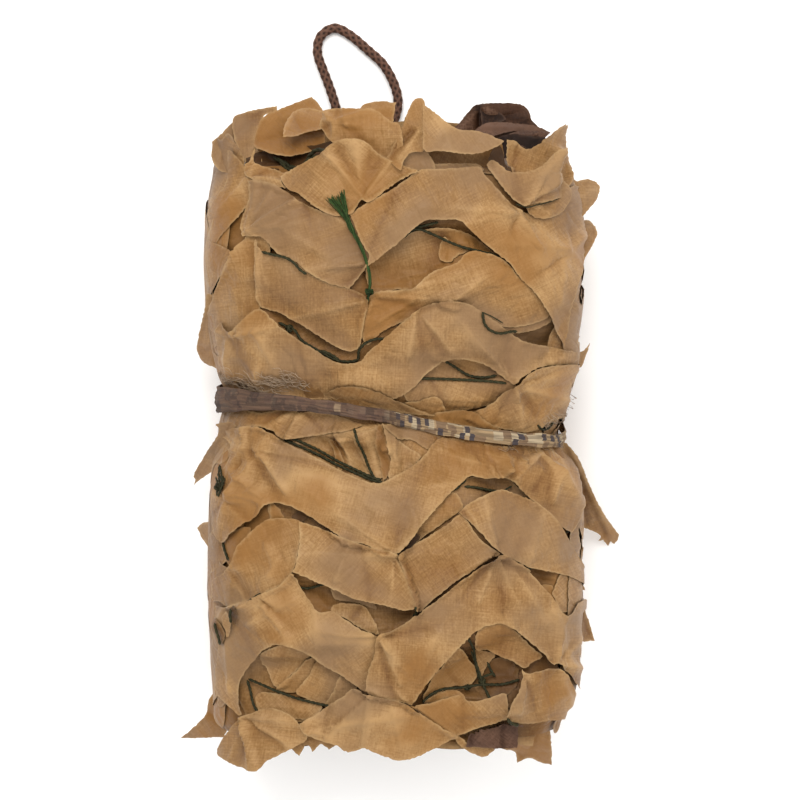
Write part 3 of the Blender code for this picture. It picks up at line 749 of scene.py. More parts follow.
def gathers(x, y, node, count, seed):
    """Sharp ridges and hollows that run out from a gathered point, in millimetres."""
    dx, dy = x - node[0], y - node[1]
    reach = math.hypot(dx, dy)
    if reach < 0.5:
        return 0.0
    angle = math.atan2(dy, dx)
    total = 0.0
    for k in range(count):
        turn = (k + 0.7 * math.sin(seed * 7.3 + k * 2.1)) * math.tau / count
        off = math.atan2(math.sin(angle - turn), math.cos(angle - turn)) * reach
        width = 0.7 + 0.06 * reach
        length = 22 + 16 * math.sin(seed + k * 1.7)
        sign = 1 if (k + int(seed * 10)) % 3 else -1.2
        total += sign * math.exp(-abs(off) / width) * math.exp(-((reach / length) ** 2))
    return GATHER_MM * total * min(1.0, reach / 4)


def fold_height(x, y, fold):
    """A given crease: from one place to another, with its height and half width."""
    x1, y1, x2, y2, height, width = fold
    length = math.hypot(x2 - x1, y2 - y1)
    ux, uy = (x2 - x1) / length, (y2 - y1) / length
    along = (x - x1) * ux + (y - y1) * uy
    across = abs((x - x1) * uy - (y - y1) * ux)
    past = max(0.0, -along, along - length)
    sharp = math.exp(-across / (FOLD_WIDER * width))
    return FOLD_HIGHER * height * sharp * math.exp(-((past / (2 * width)) ** 2))


def eased(points, faces):
    """Points with their unevenness smoothed out where the view grazes the roll, at its two sides."""
    pairs = np.array([pair for a, b, c in faces for pair in ((a, b), (b, c), (c, a))])
    pairs = np.concatenate([pairs, pairs[:, ::-1]])
    spots = np.array([tuple(p) for p in points])
    steep = np.abs(spots[:, 0] - AXIS_X) / (HIGH.x - AXIS_X)
    weight = np.clip((steep - GRAZE_FROM) / GRAZE_OVER, 0, 1)[:, None]
    for _ in range(GRAZE_ROUNDS):
        total, count = np.zeros_like(spots), np.zeros((len(spots), 1))
        np.add.at(total, pairs[:, 0], spots[pairs[:, 1]])
        np.add.at(count, pairs[:, 0], 1)
        spots = spots + (total / np.maximum(count, 1) - spots) * weight * (count > 0) * 0.5
    return [Vector(p) for p in spots]


def lay(mesh, plan, outline, base=1.0, rise=0.0, root=None, tip=None, node=None, nodes=(), count=8,
        gather=1.0, folds=(), rough=1.0, curl=0.5, tone=0.0, hue=0.0, depth=0.0, slope=None, bow=0.0,
        grain=1.1):
    """Lay a piece of cut cloth on a plan, over what is there.

    base is how far it stands off the roll and rise what it gains from root to tip. It is gathered at node and
    nodes, each with count folds of gather strength. rough is how crumpled it is and curl how far its cut edge
    turns up. tone, hue and depth go to the material, and grain is the points' spacing. A piece that stands
    free of the roll has a slope, which is a column, row and height at its root and at its tip, and a bow
    between them. Heights and spacings are in millimetres.
    """
    seed = float(RANDOM.uniform(0, 50))
    step = plan.step_mm
    flat, faces, distance = cut_cloth([(p[0] * step, p[1] * step, *p[2:]) for p in outline], grain)
    places = flat / step
    creases = [tuple(v * step for v in fold[:4]) + tuple(fold[4:]) for fold in folds]
    gathered = nodes if node is None else (node, *nodes)
    own, creased = [], []
    for (x, y), (column, row), near in zip(flat, places, distance):
        lift = base + rough * billow(x, y, seed) + curl * math.exp(-near / CURL_WIDTH)
        if root is not None:
            run = (tip[0] - root[0], tip[1] - root[1])
            t = ((column - root[0]) * run[0] + (row - root[1]) * run[1]) / (run[0] ** 2 + run[1] ** 2)
            lift += rise * min(1.0, max(0.0, t)) ** 1.5
        own.append(lift)
        crease = sum(fold_height(x, y, c) for c in creases)
        for k, (node_column, node_row) in enumerate(gathered):
            crease += gather * gathers(x, y, (node_column * step, node_row * step), count, seed + k)
        creased.append(crease)
    own, creased = np.array(own), np.array(creased)
    if slope is None:
        least = plan.under(places) + LAYER_GAP + (CREASE_ROOM if creased.any() else 0.0)
        lifts = least + 0.5 * (own - least + np.sqrt((own - least) ** 2 + KNEE))
        lifts += np.where(creased > 0, creased, CREASE_ROOM * np.tanh(creased / CREASE_ROOM))
        plan.pile(places, lifts)
        points = [plan.place(c, r, lift) for (c, r), lift in zip(places, lifts)]
    else:
        (c1, r1, z1), (c2, r2, z2) = slope
        t = (places[:, 0] - c1) * (c2 - c1) + (places[:, 1] - r1) * (r2 - r1)
        t = t / ((c2 - c1) ** 2 + (r2 - r1) ** 2)
        heights = z1 + (z2 - z1) * t + bow * 4 * t * (1 - t) + own + creased
        points = [at_height(c, r, z) for (c, r), z in zip(places, heights)]
    if slope is None and not plan.faces_up:
        points = eased(points, faces)
    turned = [
        ((x * math.cos(seed) - y * math.sin(seed)) * MM, (x * math.sin(seed) + y * math.cos(seed)) * MM)
        for x, y in flat
    ]
    if not plan.faces_up:
        faces = [f[::-1] for f in faces]
    shade = tone + RANDOM.uniform(-SHADE_SPREAD, SHADE_SPREAD)
    # Paler ridges and darker hollows along the creases: painted light and shade, with some wear.
    shade = shade + np.clip(CREASE_TONE * creased, DARKEST, PALEST)
    # Painted satin sheen: the outer layers are greyer.
    if base > OUTER_BASE:
        hue += OUTER_HUE
    aside = np.array([min(abs(p.x - AXIS_X) / (HIGH.x - AXIS_X), MOST_ASIDE) for p in points])
    grazed = 1.0 if plan.faces_up else np.sqrt(1 - aside**2)  # how much the view shortens what lies there
    # The pale edge along the cut, partly a painted highlight.
    pale_edge = np.exp(-distance / (EDGE_WIDTH * grazed))
    mesh.add(points, faces, turned, tone=shade, hue=hue, edge=pale_edge, depth=depth)


# ---------------------------------------------------------------- the front, on the view grid
# The pieces, twines and knots in the order that they are laid, the lowest first. Places are a column and a
# row of the view grid. An outline turns sharply at a point with a third value, and is smooth elsewhere.
# folds: column, row, column, row, height in mm, half width in mm. twine: a route; lift: mm at its two ends.
# In the hollows a piece's low tone, amber hue and depth are painted shade, and pieces named shadow or shade
# are dark sheets of painted shadow.
TOP_END = {
    "left_corner": dict(outline=[(212, 142, 1), (222, 133), (233, 123), (240, 130), (244, 150), (238, 170),
        (222, 172), (212, 160)], slope=((238, 168, 84), (222, 128, 66)),
        folds=[(218, 165, 226, 132, 1.2, 1.0)]),
    # A dark sheet of painted shadow in the gap at the mouth.
    "painted_shadow_in_gap": dict(outline=[(244, 160), (262, 150), (300, 146), (330, 140), (350, 150), (330, 168),
        (300, 184), (262, 186)], base=-9, depth=0.9, tone=-1),
    "gap_twine": dict(twine=[(270, 157), (280, 161), (290, 166), (300, 164), (306, 156), (314, 150),
        (322, 152), (330, 158)], lift=(-3.0, -2.0), scale=1.5),
    "gap_twine_below": dict(twine=[(276, 160), (286, 168), (296, 168), (304, 160), (312, 155)],
        lift=(-3.4, -3.0), scale=1.3),
    # Cloth in the mouth, darkened and made amber as painted shade.
    "mouth_cloth": dict(outline=[(424, 150), (470, 146), (506, 140), (508, 172), (478, 174), (432, 172)],
        base=-6, tone=-0.5, hue=0.6, depth=0.25),
    "mouth_shadow": dict(outline=[(490, 158), (503, 145), (508, 174), (496, 172)], base=-2.5, depth=0.9,
        tone=-1),
    "mouth_lip": dict(outline=[(430, 165), (455, 163), (478, 164), (479, 173), (432, 174)], base=-1.5,
        tone=-0.3, hue=-0.8),
    "middle_leaf": dict(outline=[(326, 116), (332, 110), (352, 109), (375, 111), (390, 121), (400, 126),
        (402, 150), (388, 159), (365, 150), (335, 142), (322, 128)], base=0.0, tone=-0.05, hue=0.3,
        node=(337, 122), count=9, folds=[(331, 122, 352, 127, 2.0, 1.2), (352, 127, 362, 138, -1.6, 0.8)]),
    "left_shoulder": dict(outline=[(212, 137, 1), (217, 136), (223, 139), (230, 133), (238, 142),
        (247, 165), (230, 190), (214, 212), (207, 190), (212, 150)], base=0.6,
        folds=[(222, 140, 219, 175, -2.0, 1.2)]),
    "spike_left_face": dict(outline=[(387, 158, 1), (396, 140), (404, 122), (413, 101), (424, 100),
        (424, 125), (424, 150), (412, 152), (404, 160), (400, 170)],
        slope=((405, 158, 117.5), (405, 100, 104)), tone=-0.1, hue=0.2, rough=0.6,
        folds=[(390, 156, 412, 132, -2.4, 1.2), (400, 158, 418, 132, 2.0, 1.0)]),
    "spike_foot": dict(outline=[(400, 167), (404, 158), (419, 148), (428, 155), (434, 168), (428, 172),
        (412, 170)], base=1.4, tone=-0.1, hue=-0.8),
    "spike_right_face": dict(outline=[(423, 104, 1), (433, 111), (448, 123), (459, 129), (481, 132),
        (504, 141, 1), (498, 146), (484, 152), (467, 154), (441, 151), (424, 150), (423, 128)],
        slope=((455, 152, 118.5), (455, 104, 106)), tone=-0.05, hue=-0.3, rough=0.7,
        folds=[(440, 116, 452, 150, 1.2, 1.4)]),
    "right_shoulder": dict(outline=[(505, 139, 1), (513, 141), (528, 149), (545, 139), (558, 128),
        (566, 124, 1), (565, 142), (566, 160), (573, 174), (570, 184), (552, 198), (530, 200), (514, 195),
        (508, 172)], base=0.2, tone=-0.05, folds=[(510, 175, 516, 150, -2.2, 1.4),
        (541, 196, 556, 150, 2.4, 1.0)], node=(512, 178)),
    "left_shoulder_fold": dict(outline=[(232, 150), (246, 162), (252, 172), (262, 183), (256, 192),
        (250, 205), (236, 222), (222, 240), (212, 250), (206, 235), (208, 212), (220, 196), (232, 178)],
        base=0.9, tone=-0.05, folds=[(250, 182, 222, 212, 1.6, 1.0)]),
    "pointed_leaf": dict(outline=[(250, 168), (256, 150), (258, 148), (256, 160), (264, 166), (276, 170),
        (286, 174), (291, 173), (287, 184), (290, 190), (276, 187), (262, 184), (256, 180), (252, 176)],
        base=1.4, tone=0.1, hue=0.2, node=(257, 180), gather=1.2),
}

UPPER_HALF = {
    "top_right_hollow": dict(outline=[(368, 262), (405, 236), (442, 228), (478, 238), (500, 262),
        (470, 290), (430, 292), (400, 290), (372, 292)], base=-5.5, hue=0.5, depth=0.08,
        folds=[(442, 240, 436, 268, -2.4, 2.0)]),
    "scrap_in_hollow": dict(outline=[(444, 238), (452, 242), (469, 250), (458, 256), (449, 262),
        (440, 258)], base=-2.6, tone=0.1, hue=0.4),
    "left_hollow": dict(outline=[(262, 300), (300, 318), (350, 346), (378, 330), (392, 322), (400, 340),
        (360, 372), (300, 352), (262, 325)], base=-4.5, tone=-0.3, hue=0.4, depth=0.2),
    "hollow_above_strap": dict(outline=[(404, 394), (418, 374), (440, 352), (485, 352), (512, 380),
        (505, 398), (470, 410), (425, 412)], base=-2.6, folds=[(432, 383, 451, 413, -1.6, 0.7)]),
    "lip_above_strap": dict(outline=[(400, 404), (420, 400), (436, 396), (446, 412), (430, 416),
        (410, 412)], base=-1.2, tone=-0.1, hue=0.6),
    "twine_in_hollow": dict(twine=[(402, 238), (416, 229), (432, 234), (447, 241), (462, 247), (482, 252),
        (498, 257), (512, 273)], lift=(0.6, 0.6)),
    "short_twine_in_hollow": dict(twine=[(412, 227), (422, 226), (438, 222)], lift=(0.3, 0.3)),
    "twine_above_strap": dict(twine=[(419, 378), (450, 379), (480, 380), (504, 382)], lift=(-0.2, 0.6)),
    "slanting_twine_above_strap": dict(twine=[(443, 359), (455, 367), (468, 375), (482, 377), (496, 375)],
        lift=(0.4, 0.4)),
    "right_edge": dict(outline=[(556, 196), (572, 176), (584, 200), (590, 225), (586, 262), (588, 290),
        (582, 314), (574, 340), (571, 356), (560, 356), (556, 320), (560, 280), (566, 240)], base=0.6,
        hue=-0.2),
    "right_edge_scrap": dict(outline=[(584, 276), (589, 281), (588, 293), (583, 306), (579, 314),
        (575, 300), (577, 286)], base=1.6),
    "left_edge": dict(outline=[(206, 240), (222, 244), (236, 252), (234, 262), (222, 280), (212, 300),
        (209, 312), (204, 290), (205, 262)], base=0.8, tone=-0.05),
    "left_side_leaf": dict(outline=[(250, 236), (256, 232), (268, 240), (272, 252), (266, 270), (264, 300),
        (258, 320), (240, 330), (224, 342), (212, 352), (205, 342), (208, 322), (212, 304), (222, 282),
        (236, 256)], base=1.2, node=(250, 240), tone=0.1, count=9, gather=1.5,
        folds=[(256, 246, 258, 284, -2.0, 1.4)]),
    "under_second_band_right": dict(outline=[(441, 300), (452, 289), (466, 276), (473, 269), (480, 267),
        (496, 268), (510, 272), (518, 278), (540, 290), (550, 316), (530, 330), (500, 332), (470, 318),
        (448, 306)], base=0.6, tone=0.05, node=(447, 300), gather=0.8),
    "second_band_right": dict(outline=[(370, 294, 1), (382, 290), (396, 289), (410, 288), (417, 284),
        (430, 273), (444, 267), (456, 262), (467, 251), (482, 252), (497, 257), (506, 264), (514, 275),
        (530, 290), (545, 312), (530, 322), (500, 326), (470, 312), (448, 305), (425, 312), (402, 322),
        (384, 330), (368, 344), (362, 330), (366, 310)], rise=1.0, root=(480, 320), tip=(470, 252),
        node=(374, 297), count=9, gather=1.2, folds=[(380, 320, 412, 302, 1.4, 0.8),
        (450, 300, 480, 275, 1.2, 1.2)]),
    "second_band_left": dict(outline=[(259, 240), (266, 250), (270, 251), (286, 257), (298, 262),
        (310, 272), (331, 283), (352, 289), (369, 298), (366, 316), (363, 338), (360, 346), (352, 350),
        (340, 346), (320, 334), (302, 323), (284, 312), (264, 305), (261, 280)], base=1.4, rise=1.2,
        root=(300, 262), tip=(350, 348), node=(367, 300), tone=-0.05, hue=-0.3, rough=0.6,
        folds=[(264, 244, 262, 296, 1.6, 1.0)]),
    "first_band_left": dict(outline=[(257, 184, 1), (272, 186), (287, 191), (303, 202), (320, 210),
        (334, 215), (350, 213), (357, 225), (364, 240), (371, 259), (366, 268), (357, 280), (350, 288, 1),
        (330, 282), (314, 273), (300, 262), (283, 254), (268, 238), (262, 236), (250, 236, 1), (246, 222),
        (252, 204)], base=2.4, tone=-0.3, hue=-0.4, rough=0.7, node=(250, 233), nodes=[(371, 262),
        (303, 200)], gather=1.2, count=9, folds=[(252, 226, 262, 190, 1.4, 0.9),
        (256, 228, 298, 200, 1.6, 1.0), (290, 232, 340, 262, 0.9, 2.2)]),
    "twine_on_second_band": dict(twine=[(268, 251), (278, 254), (290, 257), (298, 262), (305, 269),
        (311, 273)], lift=(1.0, 1.0)),
    "twine_under_third_band": dict(twine=[(280, 322), (288, 326), (296, 330), (303, 340), (318, 349),
        (334, 358), (346, 361), (358, 359), (360, 350), (366, 342), (376, 338), (387, 337), (400, 330)],
        lift=(1.2, 2.0)),
    "short_twine_under_third_band": dict(twine=[(322, 350), (330, 353), (340, 359)], lift=(1.6, 1.6)),
    "knot_under_third_band": dict(knot=(291, 328), size=4.2, lift=1.6),
    "first_band_right": dict(outline=[(352, 214, 1), (368, 203), (385, 194), (402, 183), (416, 172),
        (424, 170), (450, 170), (475, 169), (481, 176), (497, 193), (514, 209), (530, 214), (549, 209),
        (556, 196), (570, 184), (584, 205), (582, 230), (577, 262), (570, 290), (562, 320), (557, 347, 1),
        (548, 330), (541, 312), (528, 291), (513, 275), (504, 262), (492, 252), (478, 240), (466, 228),
        (458, 220), (440, 219), (424, 220), (410, 230), (398, 242), (386, 252), (374, 262), (364, 268),
        (371, 256), (362, 240)], base=3.0, rise=1.2, root=(480, 175), tip=(470, 240), node=(514, 212),
        nodes=[(366, 262), (565, 250)], tone=0.05, rough=0.8, count=9,
        folds=[(500, 212, 560, 252, 1.3, 3.0), (514, 212, 452, 226, 1.0, 1.5),
        (450, 222, 496, 262, -1.6, 1.0), (560, 240, 552, 300, 0.9, 1.6)]),
    "right_pocket": dict(outline=[(496, 184), (512, 200), (528, 217), (550, 214), (562, 201), (562, 186),
        (548, 178), (520, 178)], base=1.4, tone=-0.05, hue=0.4, folds=[(520, 190, 540, 214, 1.0, 1.4)]),
    "twine_in_right_pocket": dict(twine=[(508, 204), (518, 207), (534, 204), (549, 199)], lift=(2.2, 2.2),
        scale=0.5),
    "right_leaf": dict(outline=[(484, 166, 1), (490, 161), (503, 172), (510, 174), (522, 173), (534, 166),
        (545, 151), (556, 146, 1), (553, 160), (550, 178), (552, 196), (540, 201), (526, 204),
        (514, 206, 1), (500, 192), (490, 178)], base=2.6, rise=2.6, root=(525, 205), tip=(545, 152),
        node=(518, 206), count=9, gather=1.6, tone=0.2, folds=[(508, 176, 512, 200, -2.0, 1.3),
        (552, 152, 542, 196, 1.8, 0.8)]),
    "fan_leaf": dict(outline=[(287, 180, 1), (303, 170), (318, 160), (330, 151), (338, 142), (350, 138),
        (366, 140), (376, 150), (384, 157), (400, 164), (416, 172, 1), (402, 180), (385, 192), (371, 202),
        (363, 200), (357, 210), (350, 215), (336, 216), (325, 211), (312, 202), (302, 195), (292, 190)],
        base=3.0, rise=2.6, root=(365, 200), tip=(348, 140), node=(365, 200), count=7, gather=0.8,
        tone=0.25, rough=0.4, folds=[(362, 197, 334, 156, 1.5, 1.0), (361, 196, 344, 150, -2.2, 1.8),
        (362, 192, 358, 146, 1.6, 2.4), (365, 194, 372, 146, -1.4, 1.0), (367, 194, 392, 160, 1.8, 0.9),
        (364, 190, 380, 158, -2.0, 1.6), (370, 199, 412, 174, 1.0, 0.8)]),
    "third_band": dict(outline=[(222, 322), (238, 330), (262, 308), (276, 318), (290, 330), (305, 342),
        (320, 350), (336, 360), (350, 362), (362, 359), (370, 349), (380, 341), (392, 330), (405, 318),
        (418, 308), (440, 300), (462, 301), (480, 312), (500, 327), (520, 340), (545, 346), (572, 352),
        (568, 363), (550, 364), (532, 367), (518, 374), (510, 383, 1), (500, 376), (490, 368), (478, 361),
        (458, 356), (444, 358), (436, 364), (424, 374), (410, 388), (398, 396), (380, 399), (330, 399),
        (290, 398), (250, 384), (226, 376), (220, 350)], base=2.2, rise=1.4, root=(400, 392),
        tip=(400, 320), node=(417, 311), nodes=[(234, 336), (508, 378), (262, 386)], tone=0.1, count=10,
        gather=1.6, folds=[(420, 314, 440, 350, -2.2, 1.0), (417, 312, 408, 352, 1.2, 1.2),
        (262, 330, 280, 372, 1.4, 1.2), (300, 345, 310, 385, -1.2, 1.6), (232, 340, 262, 385, 1.4, 1.0),
        (350, 364, 346, 392, 0.8, 2.0), (245, 345, 240, 322, -1.8, 0.8)]),
    "hooked_twine": dict(twine=[(478, 311), (480, 322), (486, 329), (495, 332), (506, 330), (512, 330)],
        lift=(3.0, 3.0)),
    "hooked_twine_end": dict(twine=[(478, 311), (488, 316), (498, 322)], lift=(2.8, 2.8), scale=0.5),
    "right_leaf_at_strap": dict(outline=[(468, 412), (486, 403), (500, 390), (511, 383), (521, 372),
        (534, 366), (555, 363), (570, 363), (579, 367), (583, 376), (578, 392), (574, 410), (562, 416),
        (548, 421), (538, 428), (524, 432), (500, 428), (478, 422)], base=3.0, rise=1.6, root=(560, 412),
        tip=(545, 366), tone=0.25, hue=0.15, node=(510, 384), gather=0.8,
        folds=[(521, 397, 530, 411, -2.2, 1.2), (524, 388, 560, 400, 1.4, 1.6),
        (553, 409, 566, 415, -1.6, 0.8)]),
    "scrap_at_strap": dict(outline=[(428, 416), (450, 410), (470, 410), (484, 420), (500, 430), (478, 428),
        (452, 424), (436, 422)], base=1.2, hue=0.5, node=(438, 416)),
    "twine_at_strap": dict(twine=[(534, 424), (540, 429), (547, 428), (550, 421)], lift=(2.4, 2.4),
        scale=0.9),
    "middle_leaf_at_strap": dict(outline=[(326, 393, 1), (340, 385), (352, 383), (366, 385), (382, 391),
        (398, 400), (420, 410), (436, 416, 1), (410, 414), (370, 407), (340, 400)], base=2.6, rise=1.4,
        root=(370, 408), tip=(366, 384), tone=0.1, hue=0.3),
    "right_edge_tip": dict(outline=[(560, 352), (574, 353), (584, 350), (590, 343, 1), (586, 356),
        (580, 368), (570, 366)], slope=((566, 362, 72), (590, 343, 52)), tone=0.1, rough=0.4),
}

